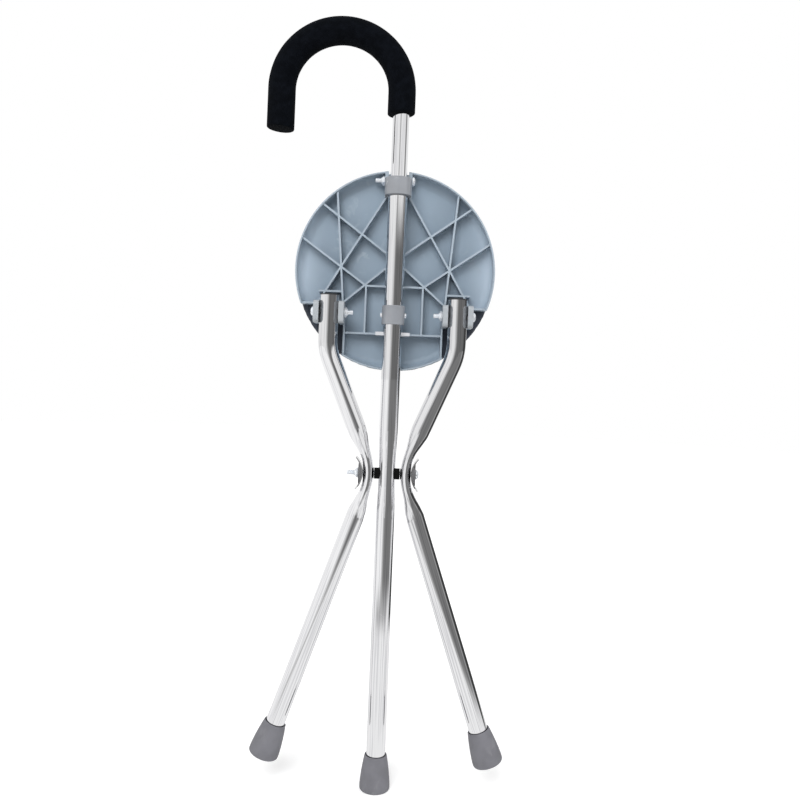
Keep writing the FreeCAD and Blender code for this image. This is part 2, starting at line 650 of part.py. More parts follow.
def slider_collar():
    """A ring on the main tube with a lug behind it that reaches up to the slider bolt."""
    lug_half = NOTCH_HALF_WIDTH - SLIDER_LUG_SIDE_CLEARANCE
    bore_radius = TUBE_RADIUS + SLIDER_BORE_CLEARANCE
    root_y = TUBE_RADIUS
    foot_z = SLIDER_BOTTOM + SLIDER_LUG_FOOT_RISE
    back_y = PIVOT_Y + SLIDER_LUG_RADIUS
    lug_top = PIVOT_HEIGHT + SLIDER_LUG_RADIUS
    nose_y = bore_radius + SLIDER_LUG_LEDGE
    nose_z = lug_top - SLIDER_LUG_NOSE_DROP
    diagonal = SLIDER_LUG_RADIUS * math.sqrt(0.5)

    def at(y, z):
        return Vector(-lug_half, y, z)

    edges = [
        line(at(root_y, SLIDER_BOTTOM), at(PIVOT_Y, foot_z)),
        line(at(PIVOT_Y, foot_z), at(back_y, PIVOT_HEIGHT - SLIDER_LUG_RADIUS)),
        line(at(back_y, PIVOT_HEIGHT - SLIDER_LUG_RADIUS), at(back_y, PIVOT_HEIGHT)),
        arc(at(back_y, PIVOT_HEIGHT), at(PIVOT_Y + diagonal, PIVOT_HEIGHT + diagonal), at(PIVOT_Y, lug_top)),
        line(at(PIVOT_Y, lug_top), at(nose_y, nose_z)),
        line(at(nose_y, nose_z), at(root_y, SLIDER_TOP)),
        line(at(root_y, SLIDER_TOP), at(root_y, SLIDER_BOTTOM)),
    ]
    lug = closed_face(edges).extrude(Vector(2 * lug_half, 0, 0))
    collar = rounded_collar(SLIDER_DIAMETER / 2, SLIDER_HEIGHT, SLIDER_BOTTOM)
    bore = collar_bore(bore_radius, lug_top - SLIDER_BOTTOM, SLIDER_BOTTOM)
    pivot_radius = SLIDER_BOLT_DIAMETER / 2 + RUNNING_CLEARANCE
    pivot = rod_x(pivot_radius, -SLIDER_DIAMETER, SLIDER_DIAMETER, PIVOT_Y, PIVOT_HEIGHT)
    return fused([collar, lug]).cut(bore).cut(pivot)


def slider_bolt():
    seat_x = NOTCH_HALF_WIDTH + NOTCH_EAR_THICKNESS + FASTENER_SEAT_GAP
    thread_end = -seat_x - NUT_HEIGHT - SLIDER_THREAD_END
    return bolt(SLIDER_BOLT_DIAMETER / 2, thread_end, seat_x, PIVOT_Y, PIVOT_HEIGHT)


def slider_nut():
    seat_x = NOTCH_HALF_WIDTH + NOTCH_EAR_THICKNESS + FASTENER_SEAT_GAP
    hole = SLIDER_BOLT_DIAMETER / 2 + FASTENER_SEAT_GAP
    return nut(hole, -seat_x - NUT_HEIGHT, PIVOT_Y, PIVOT_HEIGHT)


# Hinge hardware

def right_hinge_sleeve():
    half = EAR_INNER_GAP - MOVING_GAP
    bar = rod_x(HINGE_SLEEVE_DIAMETER / 2, HINGE_X - half, HINGE_X + half, 0, HINGE_HEIGHT)
    hole_radius = HINGE_BOLT_DIAMETER / 2 + RUNNING_CLEARANCE
    return bar.cut(rod_x(hole_radius, HINGE_X - 2 * half, HINGE_X + 2 * half, 0, HINGE_HEIGHT))


def ear_face(side):
    """The outer face of a hinge ear: side +1 away from the stick, -1 towards it."""
    return HINGE_X + side * (EAR_INNER_GAP + HINGE_EAR_THICKNESS + FASTENER_SEAT_GAP)


def right_hinge_bolt():
    thread_end = ear_face(-1) - NUT_HEIGHT - HINGE_THREAD_END
    return bolt(HINGE_BOLT_DIAMETER / 2, thread_end, ear_face(1), 0, HINGE_HEIGHT)


def right_hinge_nut():
    hole = HINGE_BOLT_DIAMETER / 2 + FASTENER_SEAT_GAP
    return nut(hole, ear_face(-1) - NUT_HEIGHT, 0, HINGE_HEIGHT)


# Seat

def seat_dish():
    """The round shell: a flat floor, a filleted rim and a rounded front edge, turned about its centre."""
    rim_inner = SEAT_RADIUS - SEAT_RIM_WALL
    edge_round = SEAT_RIM_WALL / 2
    fillet = SEAT_RIM_FILLET
    fillet_diagonal = fillet * math.sqrt(0.5)

    def at(radius, y):
        return Vector(0, y, SEAT_CENTRE_HEIGHT + radius)

    edges = [
        line(at(0, SEAT_FLOOR_Y), at(rim_inner - fillet, SEAT_FLOOR_Y)),
        arc(
            at(rim_inner - fillet, SEAT_FLOOR_Y),
            at(rim_inner - fillet + fillet_diagonal, SEAT_FLOOR_Y - fillet + fillet_diagonal),
            at(rim_inner, SEAT_FLOOR_Y - fillet),
        ),
        line(at(rim_inner, SEAT_FLOOR_Y - fillet), at(rim_inner, SEAT_FRONT_SETBACK + edge_round)),
        arc(
            at(rim_inner, SEAT_FRONT_SETBACK + edge_round),
            at(rim_inner + edge_round, SEAT_FRONT_SETBACK),
            at(SEAT_RADIUS, SEAT_FRONT_SETBACK + edge_round),
        ),
        line(at(SEAT_RADIUS, SEAT_FRONT_SETBACK + edge_round), at(SEAT_RADIUS, SEAT_BACK_Y)),
        line(at(SEAT_RADIUS, SEAT_BACK_Y), at(0, SEAT_BACK_Y)),
        line(at(0, SEAT_BACK_Y), at(0, SEAT_FLOOR_Y)),
    ]
    return revolved(edges, Vector(0, 0, SEAT_CENTRE_HEIGHT), Y_AXIS)


def rib(start, end):
    """A drafted rib on the seat's floor between two (x, z) points."""
    along = Vector(end[0] - start[0], 0, end[1] - start[1])
    across = Vector(along.z, 0, -along.x).normalize()
    front = across * (RIB_FRONT_THICKNESS / 2)
    base = across * (RIB_BASE_THICKNESS / 2)
    front_point = Vector(start[0], RIB_FRONT_Y, start[1])
    base_point = Vector(start[0], SEAT_FLOOR_Y + SEAT_SKIN / 2, start[1])
    outline = Part.makePolygon([
        front_point - front, front_point + front, base_point + base, base_point - base, front_point - front,
    ])
    return Part.Face(outline).extrude(along)


def rim_point(angle):
    """The (x, z) point of the rim at an angle above the seat's level diameter."""
    turn = math.radians(angle)
    return SEAT_RADIUS * math.cos(turn), SEAT_CENTRE_HEIGHT + SEAT_RADIUS * math.sin(turn)


def clip_rib_height():
    """The lowest rib, which clips on the main tube just under the stop collar."""
    return stop_collar_top() - STOP_COLLAR_HEIGHT - CLIP_RIB_BELOW_STOP_COLLAR


def seat_ribs():
    """The fan of ribs on the right half; the left half is its mirror image."""
    centre = SEAT_CENTRE_HEIGHT
    inner_ear_x = HINGE_X - EAR_INNER_GAP - HINGE_EAR_THICKNESS / 2
    outer_ear_x = HINGE_X + EAR_INNER_GAP + HINGE_EAR_THICKNESS / 2
    ear_top = HINGE_HEIGHT + HINGE_EAR_HALF_HEIGHT
    pocket_top = pocket_wall_height()
    notch_x = NOTCH_HALF_WIDTH + NOTCH_EAR_THICKNESS / 2
    notch_bottom = centre + SEAT_RADIUS - NOTCH_DEPTH
    hub = (0, centre + FAN_HUB_ABOVE_CENTRE)
    box_top = centre - BOX_TOP_BELOW_CENTRE
    clip_height = clip_rib_height()
    rim_height = centre + math.sqrt(SEAT_RADIUS ** 2 - VERTICAL_RIB_TOP_X ** 2)
    cutout_edge = HINGE_HEIGHT + CUTOUT_EDGE_ABOVE_HINGE + RIB_FRONT_THICKNESS / 2
    flap_x = FLAP_HALF_WIDTH - RIB_BASE_THICKNESS / 2
    lines = [
        ((inner_ear_x, ear_top - RIB_ROOT), (VERTICAL_RIB_TOP_X, rim_height)),
        ((notch_x, notch_bottom), (outer_ear_x, ear_top)),
        (hub, rim_point(FAN_RIB_ANGLE)),
        (hub, (inner_ear_x, ear_top)),
        ((BOX_HALF_WIDTH, box_top), rim_point(BRACE_RIB_ANGLE)),
        ((0, box_top), (BOX_HALF_WIDTH, box_top)),
        ((BOX_HALF_WIDTH, box_top), (BOX_HALF_WIDTH, clip_height)),
        ((0, clip_height), (flap_x, clip_height)),
        ((flap_x, HINGE_HEIGHT), (flap_x, centre - SEAT_RADIUS)),
        ((inner_ear_x, pocket_top), (outer_ear_x, pocket_top)),
        ((outer_ear_x, cutout_edge), (SEAT_RADIUS, cutout_edge)),
    ]
    return [rib(start, end) for start, end in lines]


def leg_sweep_radius():
    """How far the leg's top end reaches from the hinge bolt as the leg turns."""
    return math.hypot(TUBE_RADIUS, LEG_TOP_ABOVE_HINGE)


def pocket_wall_height():
    return HINGE_HEIGHT + leg_sweep_radius() + LEG_SWEEP_CLEARANCE + RIB_BASE_THICKNESS / 2


def hinge_ear(x_start):
    """A lug round the hinge bolt that stands on the shell, flat in front with rounded corners."""
    x_range = (x_start, x_start + HINGE_EAR_THICKNESS)
    z_range = (HINGE_HEIGHT - HINGE_EAR_HALF_HEIGHT, HINGE_HEIGHT + HINGE_EAR_HALF_HEIGHT)
    ear = box(x_range, (-HINGE_EAR_NOSE, SEAT_BACK_Y), z_range)
    front = [edge for edge in ear.Edges if edge.BoundBox.YMax < 0 and edge.BoundBox.ZLength < CUT_SPARE]
    return ear.makeFillet(HINGE_EAR_CORNER_RADIUS, front)


def notch_ear():
    """The wall beside the notch, with a nose round the slider bolt."""
    x_range = (NOTCH_HALF_WIDTH, NOTCH_HALF_WIDTH + NOTCH_EAR_THICKNESS)
    bottom = SEAT_CENTRE_HEIGHT + SEAT_RADIUS - NOTCH_DEPTH
    wall = box(x_range, (SEAT_FRONT_SETBACK, SEAT_BACK_Y), (bottom, SEAT_CENTRE_HEIGHT + SEAT_RADIUS))
    nose = rod_x(NOTCH_EAR_NOSE_RADIUS, x_range[0], x_range[1], PIVOT_Y, PIVOT_HEIGHT)
    return fused([wall, nose])


def clip_lip():
    """The thick lip beside the main tube on the lowest rib, which holds the seat folded."""
    height = clip_rib_height()
    return box(
        (0, CLIP_LIP_REACH),
        (CLIP_LIP_SETBACK, SEAT_FLOOR_Y + SEAT_SKIN / 2),
        (height - CLIP_LIP_HEIGHT / 2, height + CLIP_LIP_HEIGHT / 2),
    )


def seat_shell():
    disc_start = Vector(0, -TUBE_DIAMETER, SEAT_CENTRE_HEIGHT)
    disc = cylinder(SEAT_RADIUS - SEAT_RIM_WALL / 2, SEAT_BACK_Y + TUBE_DIAMETER, disc_start, Y_AXIS)
    right = seat_ribs()
    right.append(notch_ear())
    right.append(clip_lip())
    ears = [
        hinge_ear(HINGE_X - EAR_INNER_GAP - HINGE_EAR_THICKNESS),
        hinge_ear(HINGE_X + EAR_INNER_GAP),
    ]
    added = right + [mirrored(piece) for piece in right]
    inside = fused(added).common(disc)

    # The skin ends at the corner cut-outs, which leave the legs free; the ears stand at their edge.
    side = SEAT_RADIUS + CUT_SPARE
    cut_y = (0, SEAT_BACK_Y + CUT_SPARE)
    cut_z = (SEAT_CENTRE_HEIGHT - side, HINGE_HEIGHT + CUTOUT_EDGE_ABOVE_HINGE)
    corner = box((FLAP_HALF_WIDTH, side), cut_y, cut_z)
    notch_bottom = SEAT_CENTRE_HEIGHT + SEAT_RADIUS - NOTCH_DEPTH
    notch = box(
        (-NOTCH_HALF_WIDTH, NOTCH_HALF_WIDTH), (0, SEAT_FLOOR_Y), (notch_bottom, SEAT_CENTRE_HEIGHT + side)
    )
    shell = seat_dish().fuse(inside)
    for cutter in (corner, mirrored(corner), notch):
        shell = shell.cut(cutter)
    shell = fused([shell] + ears + [mirrored(ear) for ear in ears])

    # Clearance for the swinging leg tops, the clipped tube and the bolts.
    sweep_radius = leg_sweep_radius() + LEG_SWEEP_CLEARANCE
    sweep = rod_x(sweep_radius, HINGE_X - EAR_INNER_GAP, HINGE_X + EAR_INNER_GAP, 0, HINGE_HEIGHT)
    clip_radius = TUBE_RADIUS + CLIP_TUBE_CLEARANCE
    clip_bore = cylinder(clip_radius, SEAT_RADIUS, Vector(0, 0, HINGE_HEIGHT), -Z_AXIS)
    hinge_radius = HINGE_BOLT_DIAMETER / 2 + FIXED_HOLE_CLEARANCE
    hinge_hole = rod_x(hinge_radius, HINGE_X / 2, SEAT_RADIUS, 0, HINGE_HEIGHT)
    pivot_radius = SLIDER_BOLT_DIAMETER / 2 + FIXED_HOLE_CLEARANCE
    pivot_hole = rod_x(pivot_radius, -SLIDER_DIAMETER, SLIDER_DIAMETER, PIVOT_Y, PIVOT_HEIGHT)
    for cutter in (sweep, mirrored(sweep), clip_bore, hinge_hole, mirrored(hinge_hole), pivot_hole):
        shell = shell.cut(cutter)
    return shell.removeSplitter()


def seat_pad():
    """A round cushion: flat on the shell, with a rolled edge that swells past its base, and a low crown."""
    base_y = SEAT_BACK_Y
    widest_y = base_y + PAD_BASE_ROUND
    edge_y = base_y + PAD_EDGE_THICKNESS
    base_radius = PAD_RADIUS - PAD_BASE_ROUND
    top_radius = PAD_RADIUS - (PAD_EDGE_THICKNESS - PAD_BASE_ROUND)

    def at(radius, y):
        return Vector(0, y, SEAT_CENTRE_HEIGHT + radius)

    edges = [
        line(at(0, base_y), at(base_radius, base_y)),
        cap_arc(at(base_radius, base_y), at(PAD_RADIUS, widest_y), at(base_radius, widest_y)),
        cap_arc(at(top_radius, edge_y), at(PAD_RADIUS, widest_y), at(top_radius, widest_y)),
        cap_arc(at(top_radius, edge_y), at(0, edge_y + PAD_CROWN), at(0, edge_y)),
        line(at(0, edge_y + PAD_CROWN), at(0, base_y)),
    ]
    return revolved(edges, Vector(0, 0, SEAT_CENTRE_HEIGHT), Y_AXIS)


def right_pieces():
    """Right-hand pieces whose mirror images are the left-hand ones."""
    return {
        "leg_tube": right_leg_tube(),
        "leg_plug": right_leg_plug(),
        "foot": on_right_leg(main_foot()),
        "foot_washer": on_right_leg(main_foot_washer()),
        "saddle_plate": right_saddle_plate(),
        "saddle_washer": right_saddle_washer(),
        "spacer": right_spacer(),
        "hinge_sleeve": right_hinge_sleeve(),
        "hinge_bolt": right_hinge_bolt(),
        "hinge_nut": right_hinge_nut(),
    }


def middle_pieces():
    return {
        "main_tube": main_tube(),
        "handle_tube": handle_tube(),
        "joint_rivet": joint_rivet(),
        "foam_grip": foam_grip(),
        "grip_end_plug": grip_end_plug(),
        "stop_collar": stop_collar(),
        "stop_collar_rivet": stop_collar_rivet(),
        "main_foot": main_foot(),
        "main_foot_washer": main_foot_washer(),
        "cross_bolt": cross_bolt(),
        "cross_nut": cross_nut(),
        "seat_shell": seat_shell(),
        "seat_pad": seat_pad(),
        "slider_bolt": slider_bolt(),
        "slider_nut": slider_nut(),
        "slider_collar": slider_collar(),
    }


def export_piece(name, shape):
    """Writes one piece, which is one solid."""
    solid = shape.Solids[0]
    print(name, "solids", len(shape.Solids), "valid", solid.isValid(), "volume", round(solid.Volume, 1))
    solid.exportStep(os.path.join("parts", name + ".step"))


def main():
    os.makedirs("parts", exist_ok=True)
    for name, shape in middle_pieces().items():
        export_piece(name, shape)
    for name, shape in right_pieces().items():
        export_piece("right_" + name, shape)
        export_piece("left_" + name, mirrored(shape))


main()
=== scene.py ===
import logging
import math
from collections.abc import Iterable
from dataclasses import dataclass, field
from enum import Enum
from functools import cache
from typing import Any

import bmesh
import bpy
from mathutils import Matrix, Vector, noise


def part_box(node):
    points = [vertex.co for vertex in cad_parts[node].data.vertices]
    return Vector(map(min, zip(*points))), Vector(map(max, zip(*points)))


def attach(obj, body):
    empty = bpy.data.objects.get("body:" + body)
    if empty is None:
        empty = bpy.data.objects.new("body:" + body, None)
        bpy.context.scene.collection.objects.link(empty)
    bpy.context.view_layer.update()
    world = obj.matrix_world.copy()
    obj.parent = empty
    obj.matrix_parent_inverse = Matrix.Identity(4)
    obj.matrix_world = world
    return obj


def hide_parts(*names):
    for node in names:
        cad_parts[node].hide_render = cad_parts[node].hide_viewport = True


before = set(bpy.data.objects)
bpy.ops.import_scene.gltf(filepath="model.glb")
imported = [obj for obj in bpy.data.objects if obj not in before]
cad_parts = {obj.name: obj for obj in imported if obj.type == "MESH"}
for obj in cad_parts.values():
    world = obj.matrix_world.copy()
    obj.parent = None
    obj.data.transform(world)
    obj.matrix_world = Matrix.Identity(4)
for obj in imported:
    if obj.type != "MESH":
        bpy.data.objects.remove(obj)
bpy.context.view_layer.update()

# Walking stick seat, folded as a stick: materials, soft parts, threaded fasteners and a plain studio.
# Lengths are in metres, in the frame's own axes: +Z up the stick, the crook on the -X side, the seat on +Y.

log = logging.getLogger("walking_stick_seat")

Rgb = tuple[float, float, float]
Span = tuple[float, float]
Edges = list[bmesh.types.BMEdge]
Socket = bpy.types.NodeSocket
SIDES = {"right": 1.0, "left": -1.0}


class Slot(Enum):
    """Names of the record's material slots."""

    ZINC = "zinc_fasteners"
    FOAM = "grip_foam"
    PAD = "pad_cover"
    PLUG = "plug_plastic"


class Body(Enum):
    """Bodies that new pieces ride on."""

    STICK = "stick"
    SEAT = "seat"


class TubeLine(Enum):
    """The line that a tube's drawn marks follow."""

    STRAIGHT = "straight"
    SIDE_LEG = "side leg"


class NodeDesk:
    """Places and links the nodes of one shader tree."""

    FIRST_COLOR = 6
    SECOND_COLOR = 7
    MIXED_COLOR = 2

    def __init__(self, tree: bpy.types.NodeTree) -> None:
        """Starts on a node tree, which it empties."""
        self.tree = tree
        tree.nodes.clear()

    def add(self, kind: str, inputs: dict[str | int, Any] | None = None, **settings: Any) -> bpy.types.Node:
        """Places a node.

        Args:
            kind: Blender's name for the node type.
            inputs: Values or sockets by the input's name or number.
            settings: Properties of the node.

        Returns:
            The new node.
        """
        node = self.tree.nodes.new(kind)
        for name, value in settings.items():
            setattr(node, name, value)
        for key, value in (inputs or {}).items():
            self.feed(node.inputs[key], value)
        return node

    def feed(self, socket: Socket, value: Any) -> None:
        """Links a socket into an input, or sets its value.

        Args:
            socket: The input.
            value: An output socket, or a plain value.
        """
        if isinstance(value, Socket):
            self.tree.links.new(value, socket)
        else:
            socket.default_value = value

    def math(self, operation: str, *values: Any) -> Socket:
        """Works out a number with the Math node's operation of that name."""
        return self.add("ShaderNodeMath", dict(enumerate(values)), operation=operation).outputs[0]

    def ramp(
        self, value: Socket, low: float, high: float, to_low: float = 0.0, to_high: float = 1.0
    ) -> Socket:
        """Turns the range from low to high smoothly into the one from to_low to to_high."""
        inputs = {"Value": value, "From Min": low, "From Max": high, "To Min": to_low, "To Max": to_high}
        return self.add("ShaderNodeMapRange", inputs, interpolation_type="SMOOTHSTEP").outputs["Result"]

    def noise(self, vector: Any, scale: Any, detail: float = 3.0, distortion: float = 0.0) -> Socket:
        """Places a noise pattern, its scale per metre, and gives its value from 0 to 1."""
        inputs = {"Vector": vector, "Scale": scale, "Detail": detail, "Distortion": distortion}
        return self.add("ShaderNodeTexNoise", inputs).outputs["Fac"]

    def blend(self, factor: Any, first: Any, second: Any) -> Socket:
        """Mixes two colours.

        Args:
            factor: Share of the second.
            first: First colour, a socket or its red, green and blue.
            second: Second colour, likewise.

        Returns:
            The mixed colour's socket.
        """
        node = self.add("ShaderNodeMix", {0: factor}, data_type="RGBA")
        for key, color in ((self.FIRST_COLOR, first), (self.SECOND_COLOR, second)):
            self.feed(node.inputs[key], (*color, 1.0) if isinstance(color, tuple) else color)
        return node.outputs[self.MIXED_COLOR]

    def group(self, tree: bpy.types.NodeTree, inputs: dict[str, Any]) -> Any:
        """Places a node group with its values or sockets by name, and gives its outputs."""
        return self.add("ShaderNodeGroup", inputs, node_tree=tree).outputs

    def here(self) -> Socket:
        """Gives the piece's own coordinates, which are the frame's at rest."""
        return self.add("ShaderNodeTexCoord").outputs["Object"]

    def split(self, vector: Socket) -> Any:
        """Gives the X, Y and Z sockets of a vector."""
        return self.add("ShaderNodeSeparateXYZ", {0: vector}).outputs

    def bump(self, height: Any, distance: float) -> Socket:
        """Turns a height into a surface normal; a height of 1 stands for the distance, in metres."""
        return self.add("ShaderNodeBump", {"Height": height, "Distance": distance}).outputs[0]

    def choose(self, factor: Socket, first: Socket, second: Socket) -> Socket:
        """Mixes two shaders, by the share of the second."""
        return self.add("ShaderNodeMixShader", {0: factor, 1: first, 2: second}).outputs[0]


class Effects:
    """Shader effects that several finishes share, each a node group that is built once."""

    MOTTLE_SPAN: Span = (0.35, 0.65)
    RUB_SPAN: Span = (0.56, 0.7)
    PATCH_SPAN: Span = (0.45, 0.6)
    PATCH_SCALE = 0.2
    LINE_SPAN: Span = (0.47, 0.62)
    LINE_SHARE = 0.12
    DRAWN_STRETCH = 0.012

    @staticmethod
    def _open(name: str, scales: dict[str, float]) -> tuple[NodeDesk, Any]:
        """Starts a node group that takes a vector and some scales.

        Args:
            name: The group's name.
            scales: Default scales by name.

        Returns:
            The group's node desk, and its inputs by name.
        """
        tree = bpy.data.node_groups.new(name, "ShaderNodeTree")
        tree.interface.new_socket(name="Vector", in_out="INPUT", socket_type="NodeSocketVector")
        for label, value in scales.items():
            socket = tree.interface.new_socket(name=label, in_out="INPUT", socket_type="NodeSocketFloat")
            socket.default_value = value
        desk = NodeDesk(tree)
        return desk, desk.add("NodeGroupInput").outputs

    @staticmethod
    def _close(desk: NodeDesk, results: dict[str, Socket]) -> bpy.types.NodeTree:
        """Gives a node group its outputs.

        Args:
            desk: The group's node desk.
            results: A number's socket for each output.

        Returns:
            The group.
        """
        for label in results:
            desk.tree.interface.new_socket(name=label, in_out="OUTPUT", socket_type="NodeSocketFloat")
        desk.add("NodeGroupOutput", results)
        return desk.tree

    @classmethod
    @cache
    def moulded_grain(cls) -> bpy.types.NodeTree:
        """Builds the fine grain of a moulded surface and slow changes of its tone.

        Returns:
            The group.
        """
        desk, given = cls._open("moulded grain", {"Grain Scale": 2500.0, "Mottle Scale": 30.0})
        grain = desk.noise(given["Vector"], given["Grain Scale"], detail=2.0)
        mottle = desk.noise(given["Vector"], given["Mottle Scale"], detail=4.0)
        return cls._close(desk, {"Height": grain, "Mottle": desk.ramp(mottle, *cls.MOTTLE_SPAN)})

    @classmethod
    @cache
    def handling_marks(cls) -> bpy.types.NodeTree:
        """Builds sparse rubs and scuffs from handling.

        Returns:
            The group.
        """
        desk, given = cls._open("handling marks", {"Scale": 60.0})
        fine = desk.noise(given["Vector"], given["Scale"], detail=6.0, distortion=1.2)
        wide = desk.math("MULTIPLY", given["Scale"], cls.PATCH_SCALE)
        patches = desk.ramp(desk.noise(given["Vector"], wide, detail=2.0), *cls.PATCH_SPAN)
        return cls._close(desk, {"Mask": desk.math("MULTIPLY", desk.ramp(fine, *cls.RUB_SPAN), patches)})

    @classmethod
    @cache
    def drawn_marks(cls) -> bpy.types.NodeTree:
        """Builds marks that run along a drawn tube: slow flats, and fine lines.

        Returns:
            The group.
        """
        desk, given = cls._open("drawn marks", {"Flat Scale": 260.0, "Line Scale": 750.0})
        stretch = {"Vector": given["Vector"], "Scale": (1.0, 1.0, cls.DRAWN_STRETCH)}
        along = desk.add("ShaderNodeMapping", stretch).outputs[0]
        flats = desk.noise(along, given["Flat Scale"], detail=1.0)
        lines = desk.noise(along, given["Line Scale"], detail=4.0)
        height = desk.math("MULTIPLY_ADD", lines, cls.LINE_SHARE, flats)
        return cls._close(desk, {"Height": height, "Lines": desk.ramp(lines, *cls.LINE_SPAN)})


@dataclass(frozen=True)
class Finish:
    """What every finish has: a name and its Principled surface."""

    name: str

    def surface(self, desk: NodeDesk) -> dict[str, Any]:
        """Gives the Principled surface's values or sockets by the input's name."""
        raise NotImplementedError

    @cache
    def material(self) -> bpy.types.Material:
        """Builds the material once.

        Returns:
            The material of this finish.
        """
        made = bpy.data.materials.new(self.name)
        made.use_nodes = True
        desk = NodeDesk(made.node_tree)
        shader = desk.add("ShaderNodeBsdfPrincipled", self.surface(desk))
        desk.add("ShaderNodeOutputMaterial", {"Surface": shader.outputs[0]})
        return made


def shaded(color: Rgb, share: float) -> Rgb:
    """Makes a colour paler or darker by a share."""
    return tuple(part * share for part in color)


@dataclass(frozen=True)
class PolishedAluminium(Finish):
    """Mirror polished drawn tube with its marks along the tube."""

    line: TubeLine = TubeLine.STRAIGHT
    color: Rgb = (0.87, 0.87, 0.88)
    line_color: Rgb = (0.7, 0.7, 0.72)
    roughness: float = 0.035
    line_roughness: float = 0.03
    rub_roughness: float = 0.12
    rub_scale: float = 90.0
    mark_depth: float = 0.00009
    bend_height: float = 0.365
    bend_x: float = 0.0213
    upper_slope: float = math.tan(math.radians(22.7))
    lower_slope: float = math.tan(math.radians(18.9))
    straight_half: float = 0.012
    hinge_x: float = 0.0745

    def tube_vector(self, desk: NodeDesk) -> Socket:
        """Gives coordinates in which the tube runs straight along Z.

        Args:
            desk: The material's node desk.

        Returns:
            The coordinates.
        """
        here = desk.here()
        if self.line is TubeLine.STRAIGHT:
            return here
        parts = desk.split(here)
        rise = desk.math("SUBTRACT", parts[2], self.bend_height)
        fall = desk.math("MULTIPLY", rise, -1.0)
        above, below = (
            desk.math("MAXIMUM", desk.math("SUBTRACT", away, self.straight_half), 0.0)
            for away in (rise, fall)
        )
        upper = desk.math("MULTIPLY_ADD", above, self.upper_slope, self.bend_x)
        upper = desk.math("MINIMUM", upper, self.hinge_x)
        centre = desk.math("MULTIPLY_ADD", below, self.lower_slope, upper)
        across = desk.math("SUBTRACT", desk.math("ABSOLUTE", parts[0]), centre)
        return desk.add("ShaderNodeCombineXYZ", {0: across, 1: parts[1], 2: parts[2]}).outputs[0]

    def surface(self, desk: NodeDesk) -> dict[str, Any]:
        """Gives the Principled surface's values.

        Args:
            desk: The material's node desk.

        Returns:
            Values or sockets by the input's name.
        """
        marks = desk.group(Effects.drawn_marks(), {"Vector": self.tube_vector(desk)})
        rubs = desk.group(Effects.handling_marks(), {"Vector": desk.here(), "Scale": self.rub_scale})
        rough = desk.math("MULTIPLY_ADD", marks["Lines"], self.line_roughness, self.roughness)
        return {
            "Base Color": desk.blend(marks["Lines"], self.color, self.line_color),
            "Metallic": 1.0,
            "Roughness": desk.math("MULTIPLY_ADD", rubs["Mask"], self.rub_roughness, rough),
            "Normal": desk.bump(marks["Height"], self.mark_depth),
        }


@dataclass(frozen=True)
class ZincPlate(Finish):
    """Bright zinc plate on stamped or turned steel."""

    color: Rgb = (0.86, 0.88, 0.9)
    tint: Rgb = (0.78, 0.82, 0.88)
    roughness: float = 0.14
    mottle_roughness: float = 0.12
    metallic: float = 0.5
    grain_scale: float = 3000.0
    grain_depth: float = 0.00001
    mottle_scale: float = 250.0

    def surface(self, desk: NodeDesk) -> dict[str, Any]:
        """Gives the Principled surface's values.

        Args:
            desk: The material's node desk.

        Returns:
            Values or sockets by the input's name.
        """
        given = {"Vector": desk.here(), "Grain Scale": self.grain_scale, "Mottle Scale": self.mottle_scale}
        grain = desk.group(Effects.moulded_grain(), given)
        return {
            "Base Color": desk.blend(grain["Mottle"], self.color, self.tint),
            "Metallic": self.metallic,
            "Roughness": desk.math("MULTIPLY_ADD", grain["Mottle"], self.mottle_roughness, self.roughness),
            "Normal": desk.bump(grain["Height"], self.grain_depth),
        }


@dataclass(frozen=True)
class MouldedPart(Finish):
    """Moulded plastic or rubber: an even tone with grain, mottle and rubs."""

    color: Rgb = (0.3, 0.3, 0.3)
    rubbed_color: Rgb = (0.4, 0.4, 0.4)
    roughness: float = 0.45
    mottle_roughness: float = 0.06
    rub_roughness: float = 0.1
    grain_scale: float = 2500.0
    grain_depth: float = 0.00002
    mottle_scale: float = 30.0
    mottle_share: float = 0.12
    rub_scale: float = 60.0
    specular: float = 0.5

    def tone(self, desk: NodeDesk, mottle: Socket) -> Socket:
        """Gives the colour before it is rubbed, from slow changes of tone."""
        return desk.blend(mottle, shaded(self.color, 1.0 - self.mottle_share), self.color)

    def surface(self, desk: NodeDesk) -> dict[str, Any]:
        """Gives the Principled surface's values.

        Args:
            desk: The material's node desk.

        Returns:
            Values or sockets by the input's name.
        """
        here = desk.here()
        given = {"Vector": here, "Grain Scale": self.grain_scale, "Mottle Scale": self.mottle_scale}
        grain = desk.group(Effects.moulded_grain(), given)
        rubs = desk.group(Effects.handling_marks(), {"Vector": here, "Scale": self.rub_scale})
        rough = desk.math("MULTIPLY_ADD", grain["Mottle"], self.mottle_roughness, self.roughness)
        return {
            "Base Color": desk.blend(rubs["Mask"], self.tone(desk, grain["Mottle"]), self.rubbed_color),
            "Roughness": desk.math("MULTIPLY_ADD", rubs["Mask"], self.rub_roughness, rough),
            "Specular IOR Level": self.specular,
            "Normal": desk.bump(grain["Height"], self.grain_depth),
        }


